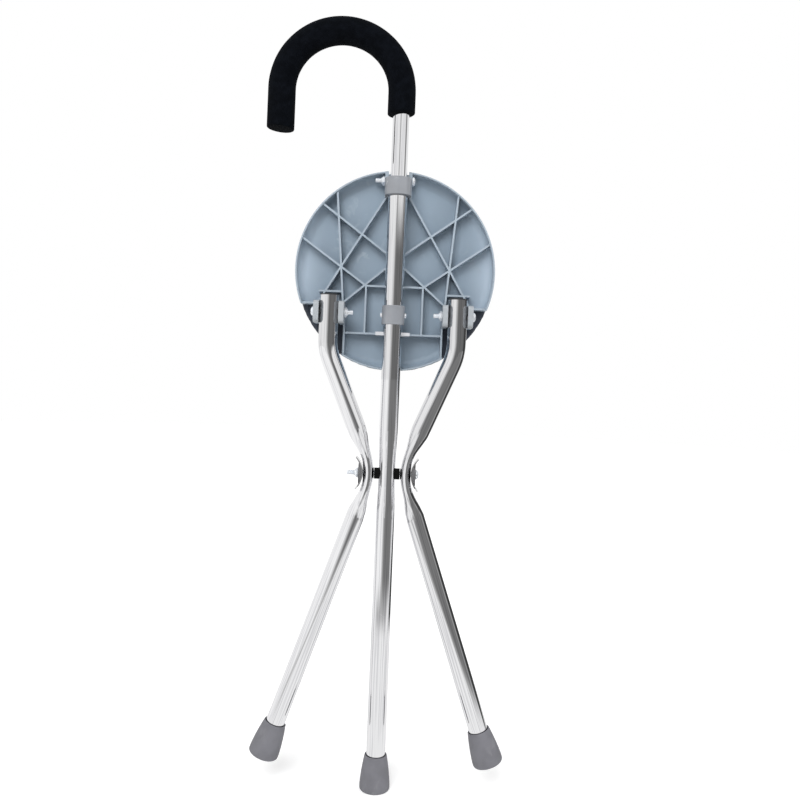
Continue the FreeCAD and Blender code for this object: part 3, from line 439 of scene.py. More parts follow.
@dataclass(frozen=True)
class RibbedShell(MouldedPart):
    """The seat's shell, with painted light: a painted highlight on what stands proud and towards the sides,
    and painted shade down in the pockets.
    """

    # Painted highlight on the ribs' front edges and what stands proud, leaving painted shade deeper in the
    # pockets.
    painted_lit_front_color: Rgb = (0.31, 0.365, 0.42)
    painted_lit_front_span: Span = (0.0285, 0.0135)
    # Painted light: the shell is painted paler towards its left and right sides.
    painted_lit_side_color: Rgb = (0.37, 0.445, 0.525)
    painted_lit_side_span: Span = (0.08, 0.118)
    ear_color: Rgb = (0.327, 0.350, 0.372)
    ear_span: Span = (0.0115, 0.007)
    lip_color: Rgb = (0.55, 0.56, 0.58)
    lip_z: float = 0.527
    lip_rise: Span = (0.003, 0.0022)
    lip_reach: Span = (0.0215, 0.0195)
    lip_depth: Span = (0.014, 0.010)

    def tone(self, desk: NodeDesk, mottle: Socket) -> Socket:
        """Gives the colour, with painted shade on the floor that pales to a painted highlight at the ribs'
        front edges, painted light towards the sides, and a pale spot on the clip rib's lip.

        Args:
            desk: The material's node desk.
            mottle: Slow changes of tone.

        Returns:
            The colour.
        """
        across, depth, height = desk.split(desk.here())
        out = desk.math("ABSOLUTE", across)
        color = MouldedPart.tone(self, desk, mottle)
        # Lays the painted light of the sides and of the ribs' fronts, then the ears' own grey.
        for place, span, tint in (
            (out, self.painted_lit_side_span, self.painted_lit_side_color),
            (depth, self.painted_lit_front_span, self.painted_lit_front_color),
            (depth, self.ear_span, self.ear_color),
        ):
            color = desk.blend(desk.ramp(place, *span), color, tint)
        # A pale spot painted on the clip rib's lip beside the tube.
        off_lip = desk.math("ABSOLUTE", desk.math("SUBTRACT", height, self.lip_z))
        lip = desk.math("MULTIPLY", desk.ramp(off_lip, *self.lip_rise), desk.ramp(out, *self.lip_reach))
        lip = desk.math("MULTIPLY", lip, desk.ramp(depth, *self.lip_depth))
        return desk.blend(lip, color, self.lip_color)


@dataclass(frozen=True)
class CellFoam(Finish):
    """Closed cell foam: near black, matt, with fine pores and a soft sheen."""

    color: Rgb = (0.0018, 0.0023, 0.0035)
    paler: float = 1.7
    roughness: float = 0.78
    pore_roughness: float = 0.15
    pore_scale: float = 1400.0
    swirl_scale: float = 120.0
    swirl_share: float = 0.8
    swirl_span: Span = (0.35, 0.7)
    specular: float = 0.055
    depth: float = 0.00012

    def surface(self, desk: NodeDesk) -> dict[str, Any]:
        """Gives the Principled surface's values.

        Args:
            desk: The material's node desk.

        Returns:
            Values or sockets by the input's name.
        """
        here = desk.here()
        cells = desk.add("ShaderNodeTexVoronoi", {"Vector": here, "Scale": self.pore_scale})
        pores = cells.outputs["Distance"]
        swirl = desk.noise(here, self.swirl_scale)
        tone = desk.ramp(swirl, *self.swirl_span)
        return {
            "Base Color": desk.blend(tone, self.color, shaded(self.color, self.paler)),
            "Roughness": desk.math("MULTIPLY_ADD", pores, self.pore_roughness, self.roughness),
            "Specular IOR Level": self.specular,
            "Normal": desk.bump(desk.math("MULTIPLY_ADD", swirl, self.swirl_share, pores), self.depth),
        }


@dataclass(frozen=True)
class PadCover(Finish):
    """Fine textured cover of the pad: dark, with small woven bumps."""

    color: Rgb = (0.024, 0.029, 0.040)
    paler: float = 1.8
    pitch: float = 0.0011
    turn: float = math.radians(45.0)
    weave_span: Span = (-0.6, 0.8)
    slow_scale: float = 25.0
    slow_span: Span = (0.3, 0.7)
    slow_least: float = 0.5
    fuzz_scale: float = 900.0
    fuzz_share: float = 0.3
    roughness: float = 0.78
    weave_roughness: float = -0.1
    specular: float = 0.3
    sheen: float = 0.15
    sheen_roughness: float = 0.4
    depth: float = 0.00012

    def surface(self, desk: NodeDesk) -> dict[str, Any]:
        """Gives the Principled surface's values.

        Args:
            desk: The material's node desk.

        Returns:
            Values or sockets by the input's name.
        """
        here = desk.here()
        turned = desk.add("ShaderNodeMapping", {"Vector": here, "Rotation": (0.0, self.turn, 0.0)})
        parts = desk.split(turned.outputs[0])
        wave = 2.0 * math.pi / self.pitch
        waves = [desk.math("SINE", desk.math("MULTIPLY", parts[axis], wave)) for axis in (0, 2)]
        weave = desk.ramp(desk.math("MULTIPLY", *waves), *self.weave_span)
        slow = desk.noise(here, self.slow_scale, detail=4.0)
        shade = desk.math("MULTIPLY", weave, desk.ramp(slow, *self.slow_span, self.slow_least, 1.0))
        height = desk.math("MULTIPLY_ADD", desk.noise(here, self.fuzz_scale), self.fuzz_share, weave)
        return {
            "Base Color": desk.blend(shade, self.color, shaded(self.color, self.paler)),
            "Roughness": desk.math("MULTIPLY_ADD", weave, self.weave_roughness, self.roughness),
            "Specular IOR Level": self.specular,
            "Sheen Weight": self.sheen,
            "Sheen Roughness": self.sheen_roughness,
            "Normal": desk.bump(height, self.depth),
        }


STICK_TUBE = PolishedAluminium("polished straight tube")
LEG_TUBE = PolishedAluminium("polished leg tube", line=TubeLine.SIDE_LEG)
ZINC = ZincPlate("bright zinc")
PLAIN_STEEL = ZincPlate(
    "plain steel", color=(0.5, 0.5, 0.5), tint=(0.42, 0.42, 0.42), roughness=0.35, metallic=1.0
)
SADDLE_STEEL = ZincPlate(
    "polished saddle steel", color=(0.74, 0.74, 0.74), tint=(0.62, 0.62, 0.63), roughness=0.12,
    metallic=1.0,
)
SHELL = RibbedShell(
    "blue grey shell", color=(0.243, 0.306, 0.372), rubbed_color=(0.30, 0.36, 0.42), roughness=0.36,
    grain_scale=1800.0, mottle_scale=14.0, mottle_share=0.06, rub_scale=45.0,
)
COLLAR = MouldedPart(
    "warm grey collar", color=(0.238, 0.25, 0.272), rubbed_color=(0.36, 0.37, 0.38), roughness=0.16,
    grain_scale=2200.0, specular=1.0,
)
SADDLE = MouldedPart("dark grey washer", color=(0.11, 0.11, 0.115), rubbed_color=(0.2, 0.2, 0.2))
PLUG = MouldedPart(
    "black plug", color=(0.03, 0.03, 0.032), rubbed_color=(0.08, 0.08, 0.08), roughness=0.4
)
FOOT = MouldedPart(
    "grey foot rubber", color=(0.17, 0.17, 0.188), rubbed_color=(0.195, 0.195, 0.21), roughness=0.62,
    grain_scale=1600.0, grain_depth=0.00003, mottle_scale=70.0, specular=0.35,
)
SPACER = MouldedPart(
    "black spacer rubber", color=(0.003, 0.003, 0.003), rubbed_color=(0.01, 0.01, 0.01),
    roughness=0.6, specular=0.1,
)
FOAM = CellFoam("black foam")
PAD = PadCover("textured pad cover")


def dress(node: str, finish: Finish) -> None:
    """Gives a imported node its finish.

    Args:
        node: The node's name.
        finish: Its finish.
    """
    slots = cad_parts[node].data.materials
    slots.clear()
    slots.append(finish.material())
    log.info("dressed %s with %s", node, finish.name)


def new_object(name: str, data: bpy.types.ID) -> bpy.types.Object:
    """Makes an object in the scene.

    Args:
        name: Its name.
        data: Its mesh, lamp or camera.

    Returns:
        The object.
    """
    made = bpy.data.objects.new(name, data)
    bpy.context.scene.collection.objects.link(made)
    return made


def mesh_object(mesh: bmesh.types.BMesh, name: str) -> bpy.types.Object:
    """Turns a mesh into an object in the scene.

    Args:
        mesh: The mesh; it is freed.
        name: The object's name.

    Returns:
        The object.
    """
    data = bpy.data.meshes.new(name)
    mesh.to_mesh(data)
    mesh.free()
    return new_object(name, data)


def placed_piece(
    mesh: bmesh.types.BMesh, name: str, finish: Finish, body: Body, smooth_angle: float = 35.0
) -> bpy.types.Object:
    """Turns a finished mesh into a piece that rides on a body.

    Args:
        mesh: The mesh, in the frame; it is freed.
        name: The piece's name.
        finish: Its finish.
        body: The body that it rides on.
        smooth_angle: Edges sharper than this, in degrees, stay sharp.

    Returns:
        The new object.
    """
    bmesh.ops.remove_doubles(mesh, verts=mesh.verts, dist=1e-7)
    bmesh.ops.recalc_face_normals(mesh, faces=mesh.faces)
    for face in mesh.faces:
        face.smooth = True
    for edge in mesh.edges:
        if len(edge.link_faces) == 2 and edge.calc_face_angle(0.0) > math.radians(smooth_angle):
            edge.smooth = False
    piece = mesh_object(mesh, name)
    piece.data.materials.append(finish.material())
    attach(piece, body.value)
    log.info("built %s with %d faces", name, len(piece.data.polygons))
    return piece


def circle_edges(mesh: bmesh.types.BMesh, sides: int, radius: float, lie: Matrix) -> Edges:
    """Adds a circle.

    Args:
        mesh: The mesh to add to.
        sides: How many edges it has.
        radius: Its radius.
        lie: Where it lies.

    Returns:
        Its edges.
    """
    count = len(mesh.edges)
    bmesh.ops.create_circle(mesh, segments=sides, radius=radius, matrix=lie)
    return mesh.edges[count:]


def verts_of(items: Iterable[Any]) -> list[bmesh.types.BMVert]:
    """Picks the vertices out of what an operator made."""
    return [item for item in items if isinstance(item, bmesh.types.BMVert)]


def edges_of(items: Iterable[Any]) -> Edges:
    """Picks the edges out of what an operator made."""
    return [item for item in items if isinstance(item, bmesh.types.BMEdge)]


def round_edges(mesh: bmesh.types.BMesh, edges: Edges, radius: float) -> None:
    """Rounds edges with a radius."""
    bmesh.ops.bevel(
        mesh, geom=edges, offset=radius, offset_type="OFFSET", segments=4, profile=0.5,
        affect="EDGES", material=-1,
    )


@dataclass(frozen=True)
class Ring:
    """One ring of a turned solid: its radius, or a hexagon's half width across flats, and its height."""

    radius: float
    height: float
    hexagon: bool = False

    def sized(self, radius: float, height: float, base: float = 0.0) -> "Ring":
        """Takes the ring's sizes as shares of a radius and of a height above a base."""
        return Ring(radius * self.radius, base + height * self.height, self.hexagon)


@dataclass
class Turned:
    """Builds solids about +Z from rings that are bridged one to the next."""

    sides: int = 24

    def ring(self, mesh: bmesh.types.BMesh, step: Ring) -> Edges:
        """Adds one ring.

        Args:
            mesh: The mesh to add to.
            step: The ring.

        Returns:
            Its edges.
        """
        edges = circle_edges(mesh, self.sides, step.radius, Matrix.Translation((0.0, 0.0, step.height)))
        if step.hexagon:
            sector = math.radians(60.0)
            for vert in dict.fromkeys(vert for edge in edges for vert in edge.verts):
                turn = math.atan2(vert.co.y, vert.co.x) % sector
                stretch = 1.0 / math.cos(turn - sector / 2.0)
                vert.co.x *= stretch
                vert.co.y *= stretch
        return edges

    def solid(self, mesh: bmesh.types.BMesh, steps: list[Ring], hollow: bool = False) -> None:
        """Adds a solid.

        Args:
            mesh: The mesh to add to.
            steps: Its rings in order.
            hollow: Whether the last ring joins the first; otherwise both ends are closed.
        """
        rings = [self.ring(mesh, step) for step in steps]
        pairs = list(zip(rings, rings[1:]))
        if hollow:
            pairs.append((rings[-1], rings[0]))
        for first, second in pairs:
            bmesh.ops.bridge_loops(mesh, edges=first + second)
        if not hollow:
            for end in (rings[0], rings[-1]):
                bmesh.ops.edgeloop_fill(mesh, edges=end)


@dataclass
class Fastener:
    """A fastener along X in the place of a packed one, built about +Z from its start.

    Its side is +1 when it runs to +X from there, and -1 when it runs to -X.
    """

    node: str
    body: Body
    side: float = 1.0

    def room(self) -> tuple[Vector, Vector]:
        """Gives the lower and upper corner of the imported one's box."""
        low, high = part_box(self.node)
        return Vector(low), Vector(high)

    def lay(self, mesh: bmesh.types.BMesh) -> None:
        """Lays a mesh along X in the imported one's place.

        Args:
            mesh: The mesh, about +Z.
        """
        low, high = self.room()
        middle = (low + high) / 2.0
        place = Matrix.Translation((low.x if self.side > 0.0 else high.x, middle.y, middle.z))
        lie = place @ Matrix.Rotation(math.radians(90.0) * self.side, 4, "Y")
        bmesh.ops.transform(mesh, matrix=lie, verts=mesh.verts)

    def fitted(self, mesh: bmesh.types.BMesh) -> bpy.types.Object:
        """Turns the fastener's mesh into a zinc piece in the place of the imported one.

        Args:
            mesh: The mesh, about +Z.

        Returns:
            The piece.
        """
        self.lay(mesh)
        piece = placed_piece(mesh, f"detailed_{self.node}", ZINC, self.body)
        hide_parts(self.node)
        return piece


@dataclass
class Bolt(Fastener):
    """A domed bolt with a hexagon socket and a thread; its dome and socket are shares of its head."""

    shank_radius: float = 0.003
    thread_root: float = 0.0026
    thread_pitch: float = 0.001
    thread_length: float = 0.016
    thread_start: float = 0.0008
    thread_runout: float = 0.0004
    ridge_seat: float = 0.45
    ridge_radius: float = 0.5
    tip_share: float = 0.85
    tip_height: float = 0.0006
    shoulder: float = 0.0005
    head_height: float = 0.0035
    dome: tuple[Ring, ...] = (
        Ring(0.96, 0.0), Ring(1.0, 0.08), Ring(1.0, 0.3), Ring(0.95, 0.55), Ring(0.83, 0.78),
        Ring(0.66, 0.93), Ring(0.48, 1.0),
    )
    socket_radius: float = 0.002
    socket: tuple[Ring, ...] = (Ring(1.08, 0.0, True), Ring(1.0, 0.06, True), Ring(1.0, 0.6, True))

    def rings(self, length: float, head_radius: float) -> list[Ring]:
        """Gives the bolt's rings from its thread end.

        Args:
            length: The whole length.
            head_radius: The head's radius.

        Returns:
            The rings.
        """
        seat = length - self.head_height
        return [
            Ring(self.thread_root * self.tip_share, 0.0),
            Ring(self.thread_root, self.tip_height),
            Ring(self.thread_root, self.thread_length),
            Ring(self.shank_radius, self.thread_length + self.shoulder),
            Ring(self.shank_radius, seat),
            *(ring.sized(head_radius, self.head_height, seat) for ring in self.dome),
            *(ring.sized(self.socket_radius, -self.head_height, length) for ring in self.socket),
        ]

    def wind_thread(self, mesh: bmesh.types.BMesh, sides: int) -> None:
        """Winds the thread's ridge.

        Args:
            mesh: The bolt's mesh.
            sides: How many steps a turn has.
        """
        depth = self.shank_radius - self.thread_root
        place = Matrix.Translation((self.thread_root + depth * self.ridge_seat, 0.0, self.thread_start))
        upright = Matrix.Rotation(math.radians(90.0), 4, "X") @ Matrix.Rotation(math.radians(-90.0), 4, "Z")
        count = len(mesh.verts)
        bmesh.ops.create_circle(
            mesh, cap_ends=True, segments=3, radius=depth * self.ridge_radius, matrix=place @ upright
        )
        corners = mesh.verts[count:]
        face = corners[0].link_faces[0]
        turns = (self.thread_length - self.thread_runout - self.thread_start) / self.thread_pitch
        bmesh.ops.spin(
            mesh, geom=[*corners, *face.edges, face], cent=(0.0, 0.0, 0.0), axis=(0.0, 0.0, 1.0),
            dvec=(0.0, 0.0, self.thread_pitch / sides), angle=2.0 * math.pi * turns,
            steps=round(turns * sides), use_duplicate=False,
        )

    def build(self) -> bpy.types.Object:
        """Builds the bolt.

        Returns:
            The bolt.
        """
        low, high = self.room()
        mesh = bmesh.new()
        tool = Turned()
        tool.solid(mesh, self.rings(high.x - low.x, (high.z - low.z) / 2.0))
        self.wind_thread(mesh, tool.sides)
        return self.fitted(mesh)


@dataclass
class LockNut(Fastener):
    """A chamfered hexagon nut with a collar that holds a nylon ring; outline and ring are shares of it."""

    side: float = -1.0
    bore_radius: float = 0.00305
    step: float = 0.86
    outline: tuple[Ring, ...] = (
        Ring(0.97, 0.0), Ring(1.0, 0.12, True), Ring(1.0, 0.62, True), Ring(0.96, 0.74),
        Ring(0.84, 0.76), Ring(0.82, 0.94), Ring(0.76, 1.0), Ring(0.69, 1.0), Ring(0.68, 0.86),
    )
    nylon: tuple[Ring, ...] = (Ring(0.675, 0.86), Ring(0.675, 0.95))
    nylon_bore: Ring = Ring(1.02, 0.97)

    def build(self) -> bpy.types.Object:
        """Builds the nut and its ring.

        Returns:
            The nut.
        """
        low, high = self.room()
        half = (high.y - low.y) / 2.0
        height = high.x - low.x
        seat = Ring(self.bore_radius, height * self.step)
        mesh = bmesh.new()
        steps = [Ring(self.bore_radius, 0.0), *(ring.sized(half, height) for ring in self.outline), seat]
        Turned().solid(mesh, steps, hollow=True)
        nut = self.fitted(mesh)
        inner = bmesh.new()
        steps = [seat, *(ring.sized(half, height) for ring in self.nylon)]
        steps.append(self.nylon_bore.sized(self.bore_radius, height))
        Turned().solid(inner, steps, hollow=True)
        self.lay(inner)
        placed_piece(inner, f"{self.node}_nylon_ring", PLUG, self.body)
        return nut


@dataclass
class FoamGrip:
    """The soft grip over the crook, with rounded ends and an uneven skin."""

    centre_x: float = -0.0696
    centre_z: float = 0.806
    outer_radius: float = 0.0159
    bore_radius: float = 0.00975
    stick_end: float = 0.781
    tip_end: float = 0.759
    end_tilt: float = math.radians(4.0)
    end_round: float = 0.0016
    sides: int = 56
    bend_steps: int = 72
    skin_scale: float = 60.0
    skin_depth: float = 0.00008
    skin_seed: int = 1

    def swept(self, mesh: bmesh.types.BMesh, radius: float) -> tuple[Edges, Edges]:
        """Sweeps a ring along the crook.

        Args:
            mesh: The mesh to add to.
            radius: The ring's radius.

        Returns:
            The rings at the stick's end and at the tip's end.
        """
        first = circle_edges(mesh, self.sides, radius, Matrix.Translation((0.0, 0.0, self.stick_end)))
        leading = self.pulled(mesh, first, Vector((0.0, 0.0, self.centre_z - self.stick_end)))
        turned = bmesh.ops.spin(
            mesh, geom=leading, cent=(self.centre_x, 0.0, self.centre_z), axis=(0.0, -1.0, 0.0),
            angle=math.pi, steps=self.bend_steps, use_duplicate=False,
        )
        leading = edges_of(turned["geom_last"])
        return first, self.pulled(mesh, leading, Vector((0.0, 0.0, self.tip_end - self.centre_z)))

    @staticmethod
    def pulled(mesh: bmesh.types.BMesh, ring: Edges, step: Vector) -> Edges:
        """Extrudes a ring of edges along a step.

        Args:
            mesh: The mesh.
            ring: The ring's edges.
            step: How far and which way.

        Returns:
            The new ring.
        """
        made = bmesh.ops.extrude_edge_only(mesh, edges=ring)["geom"]
        bmesh.ops.translate(mesh, verts=verts_of(made), vec=step)
        return [edge for edge in edges_of(made) if len(edge.link_faces) == 1]

    def build(self) -> bpy.types.Object:
        """Builds the grip.

        Returns:
            The grip.
        """
        mesh = bmesh.new()
        outer_ends = self.swept(mesh, self.outer_radius)
        bore_ends = self.swept(mesh, self.bore_radius)
        for outer, bore in zip(outer_ends, bore_ends):
            bmesh.ops.bridge_loops(mesh, edges=outer + bore)
        rims = [edge for ends in (outer_ends, bore_ends) for ring in ends for edge in ring]
        round_edges(mesh, rims, self.end_round)
        self.settle(mesh)
        grip = placed_piece(mesh, "soft_grip", FOAM, Body.STICK, smooth_angle=60.0)
        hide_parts("foam_grip")
        return grip

    def settle(self, mesh: bmesh.types.BMesh) -> None:
        """Tilts the ends and makes the skin slightly uneven.

        Args:
            mesh: The grip's mesh.
        """
        noise.seed_set(self.skin_seed)
        for vert in mesh.verts:
            place = vert.co
            if place.z < self.centre_z:
                on_tip = place.x < self.centre_x
                middle = 2.0 * self.centre_x if on_tip else 0.0
                end = self.tip_end if on_tip else self.stick_end
                share = 1.0 - (place.z - end) / (self.centre_z - end)
                inwards = (place.x - middle) * (1.0 if on_tip else -1.0)
                place.z -= share * inwards * math.tan(self.end_tilt)
            place += noise.noise_vector(place * self.skin_scale) * self.skin_depth


@dataclass
class SeatPad:
    """The round pad on the seat's upper side: a stuffed cover, swelled by simulation."""

    centre_z: float = 0.6016
    radius: float = 0.119
    sides: int = 96
    rim_round: float = 0.003
    rim_angle: float = math.radians(60.0)
    base_y: float = 0.0323
    thickness: float = 0.0087
    crown: float = 0.0052
    voxel: float = 0.0035
    pressure: float = 4.0
    steps: int = 20
    rise_cap: float = 0.003
    pull_cap: float = 0.0008
    top_y: float = 0.0464
    def blank(self) -> bpy.types.Object:
        """Builds the flat disc that the cloth starts from.

        Returns:
            The disc.
        """
        mesh = bmesh.new()
        flat = Matrix.Rotation(math.radians(90.0), 4, "X")
        lie = Matrix.Translation((0.0, self.base_y, self.centre_z)) @ flat
        bmesh.ops.create_circle(mesh, cap_ends=True, segments=self.sides, radius=self.radius, matrix=lie)
        raised = bmesh.ops.extrude_face_region(mesh, geom=mesh.faces[:])["geom"]
        bmesh.ops.translate(mesh, verts=verts_of(raised), vec=(0.0, self.thickness, 0.0))
        bmesh.ops.recalc_face_normals(mesh, faces=mesh.faces)
        rims = [edge for edge in mesh.edges if edge.calc_face_angle(0.0) > self.rim_angle]
        round_edges(mesh, rims, self.rim_round)
        return mesh_object(mesh, "seat cushion blank")

    def build(self) -> bpy.types.Object:
        """Builds the pad.

        Returns:
            The pad.
        """
        blank = self.blank()
        remesh = blank.modifiers.new("even net", "REMESH")
        remesh.mode = "VOXEL"
        remesh.voxel_size = self.voxel
        self.bake_modifiers(blank)
        for vert in blank.data.vertices:
            out = math.hypot(vert.co.x, vert.co.z - self.centre_z) / self.radius
            vert.co.y += self.crown * (1.0 - out * out) * (vert.co.y - self.base_y) / self.thickness
        start = [vert.co.copy() for vert in blank.data.vertices]
        self.swell(blank)
        mesh = bmesh.new()
        mesh.from_mesh(blank.data)
        mesh.verts.ensure_lookup_table()
        for vert, rest in zip(mesh.verts, start):
            rise = min(max(vert.co.y - rest.y, -self.rise_cap), self.rise_cap)
            pull = Vector((vert.co.x - rest.x, 0.0, vert.co.z - rest.z))
            if pull.length > self.pull_cap:
                pull *= self.pull_cap / pull.length
            vert.co = rest + pull
            vert.co.y = min(max(rest.y + rise, self.base_y), self.top_y)
        old = blank.data
        bpy.data.objects.remove(blank)
        bpy.data.meshes.remove(old)
        pad = placed_piece(mesh, "seat_cushion", PAD, Body.SEAT, smooth_angle=180.0)
        smooth = pad.modifiers.new("finer", "SUBSURF")
        smooth.levels = 1
        smooth.render_levels = 1
        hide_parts("seat_pad")
        return pad

    @staticmethod
    def bake_modifiers(piece: bpy.types.Object) -> None:
        """Makes a piece's modifiers part of its mesh.

        Args:
            piece: The piece.
        """
        view = bpy.context.evaluated_depsgraph_get()
        baked = bpy.data.meshes.new_from_object(piece.evaluated_get(view))
        piece.modifiers.clear()
        old = piece.data
        piece.data = baked
        bpy.data.meshes.remove(old)

    def swell(self, blank: bpy.types.Object) -> None:
        """Blows the cover up as cloth and keeps the result.

        Args:
            blank: The pad's net.
        """
        scene = bpy.context.scene
        cloth = blank.modifiers.new("cover", "CLOTH")
        settings = cloth.settings
        settings.use_pressure = True
        settings.uniform_pressure_force = self.pressure
        settings.effector_weights.gravity = 0.0
        cloth.point_cache.frame_start = 1
        cloth.point_cache.frame_end = self.steps
        for step in range(1, self.steps + 1):
            scene.frame_set(step)
        self.bake_modifiers(blank)
        scene.frame_set(1)


@dataclass
class Stick:
    """The stick: main tube, handle tube, stop collar and foot."""

    finishes: dict[str, Finish] = field(default_factory=lambda: {
        "main_tube": STICK_TUBE,
        "handle_tube": STICK_TUBE,
        "joint_rivet": ZINC,
        "grip_end_plug": PLUG,
        "stop_collar": COLLAR,
        "stop_collar_rivet": ZINC,
        "main_foot": FOOT,
        "main_foot_washer": PLAIN_STEEL,
        "right_spacer": SPACER,
        "left_spacer": SPACER,
    })

    def build(self) -> None:
        """Dresses the stick's nodes and builds its grip, cross bolt and nut."""
        for node, finish in self.finishes.items():
            dress(node, finish)
        FoamGrip().build()
        Bolt("cross_bolt", Body.STICK).build()
        LockNut("cross_nut", Body.STICK).build()


@dataclass
class SideLegs:
    """The two bent legs that swing together about the cross bolt."""

    finishes: dict[str, Finish] = field(default_factory=lambda: {
        "leg_tube": LEG_TUBE,
        "leg_plug": PLUG,
        "foot": FOOT,
        "foot_washer": PLAIN_STEEL,
        "saddle_plate": SADDLE_STEEL,
        "saddle_washer": SADDLE,
        "hinge_sleeve": PLUG,
    })

    def build(self) -> None:
        """Dresses the legs' nodes."""
        for side in SIDES:
            for part, finish in self.finishes.items():
                dress(f"{side}_{part}", finish)


@dataclass
class Seat:
    """The folding seat with its hinge hardware, pad and slider collar."""

    def build(self) -> None:
        """Dresses the seat's nodes and builds its fasteners and pad."""
        dress("seat_shell", SHELL)
        dress("slider_collar", COLLAR)
        Bolt("slider_bolt", Body.SEAT).build()
        LockNut("slider_nut", Body.SEAT).build()
        for side, outwards in SIDES.items():
            Bolt(f"{side}_hinge_bolt", Body.SEAT, side=outwards).build()
            LockNut(f"{side}_hinge_nut", Body.SEAT, side=-outwards).build()
        SeatPad().build()


def grey(level: float) -> Rgb:
    """Gives the grey of a level."""
    return (level, level, level)


@dataclass(frozen=True)
class RoomPanel:
    """One plain thing that polished metal mirrors: a wall, a card or a gap, with soft edges.

    Bearings are in degrees from the camera's side of the room, positive towards +X.
    """

    bearing: float
    half_width: float
    softness: float
    level: float
    def over(self, desk: NodeDesk, turn: Socket, behind: Any) -> Socket:
        """Lays the panel over the colour behind it, at a bearing."""
        away = desk.math("ABSOLUTE", desk.math("SUBTRACT", turn, self.bearing))
        cover = desk.ramp(away, self.half_width + self.softness, self.half_width)
        return desk.blend(cover, behind, grey(self.level))


@dataclass(frozen=True)
class RoomStorey:
    """One height of the room: its backdrop's level, the panels before it, and where it fades in.

    The fade is a height in metres on the near wall, and the upward share of the direction in the world.
    """

    backdrop: float
    panels: tuple[RoomPanel, ...] = ()
    fade: Span = (0.0, 0.0)

    def brightness(self, desk: NodeDesk, turn: Socket) -> Any:
        """Gives the storey's colour at a bearing.

        Args:
            desk: The node desk.
            turn: The bearing, in degrees.

        Returns:
            The colour.
        """
        level: Any = grey(self.backdrop)
        for panel in self.panels:
            level = panel.over(desk, turn, level)
        return level


DARK_CARD = RoomPanel(bearing=120.0, half_width=20.0, softness=12.0, level=0.05)
PAPER = RoomStorey(0.92)
PAPER_EDGE = RoomStorey(1.0, (RoomPanel(0.0, 50.0, 30.0, 0.5), DARK_CARD), fade=(0.0, 0.05))
LOW_ROOM = RoomStorey(1.0, (RoomPanel(40.0, 35.0, 40.0, 0.2), DARK_CARD), fade=(0.03, 0.12))
ROOM_WALL = RoomStorey(0.85, (RoomPanel(50.0, 40.0, 40.0, 0.15), DARK_CARD))
CEILING = RoomStorey(
    0.9, (RoomPanel(0.0, 3.0, 8.0, 0.4), RoomPanel(90.0, 8.0, 12.0, 0.3)), fade=(0.14, 0.23)
)


@dataclass(frozen=True)
class Lamp:
    """One square soft lamp, which mirrors don't show."""

    name: str
    place: tuple[float, float, float]
    size: float
    watts: float

    def hang(self, aim: Vector) -> None:
        """Hangs the lamp.

        Args:
            aim: What it points at.
        """
        data = bpy.data.lights.new(self.name, "AREA")
        data.shape = "SQUARE"
        data.size = self.size
        data.energy = self.watts
        lamp = new_object(self.name, data)
        lamp.location = self.place
        lamp.rotation_euler = (aim - Vector(self.place)).to_track_quat("-Z", "Y").to_euler()
        lamp.visible_glossy = False


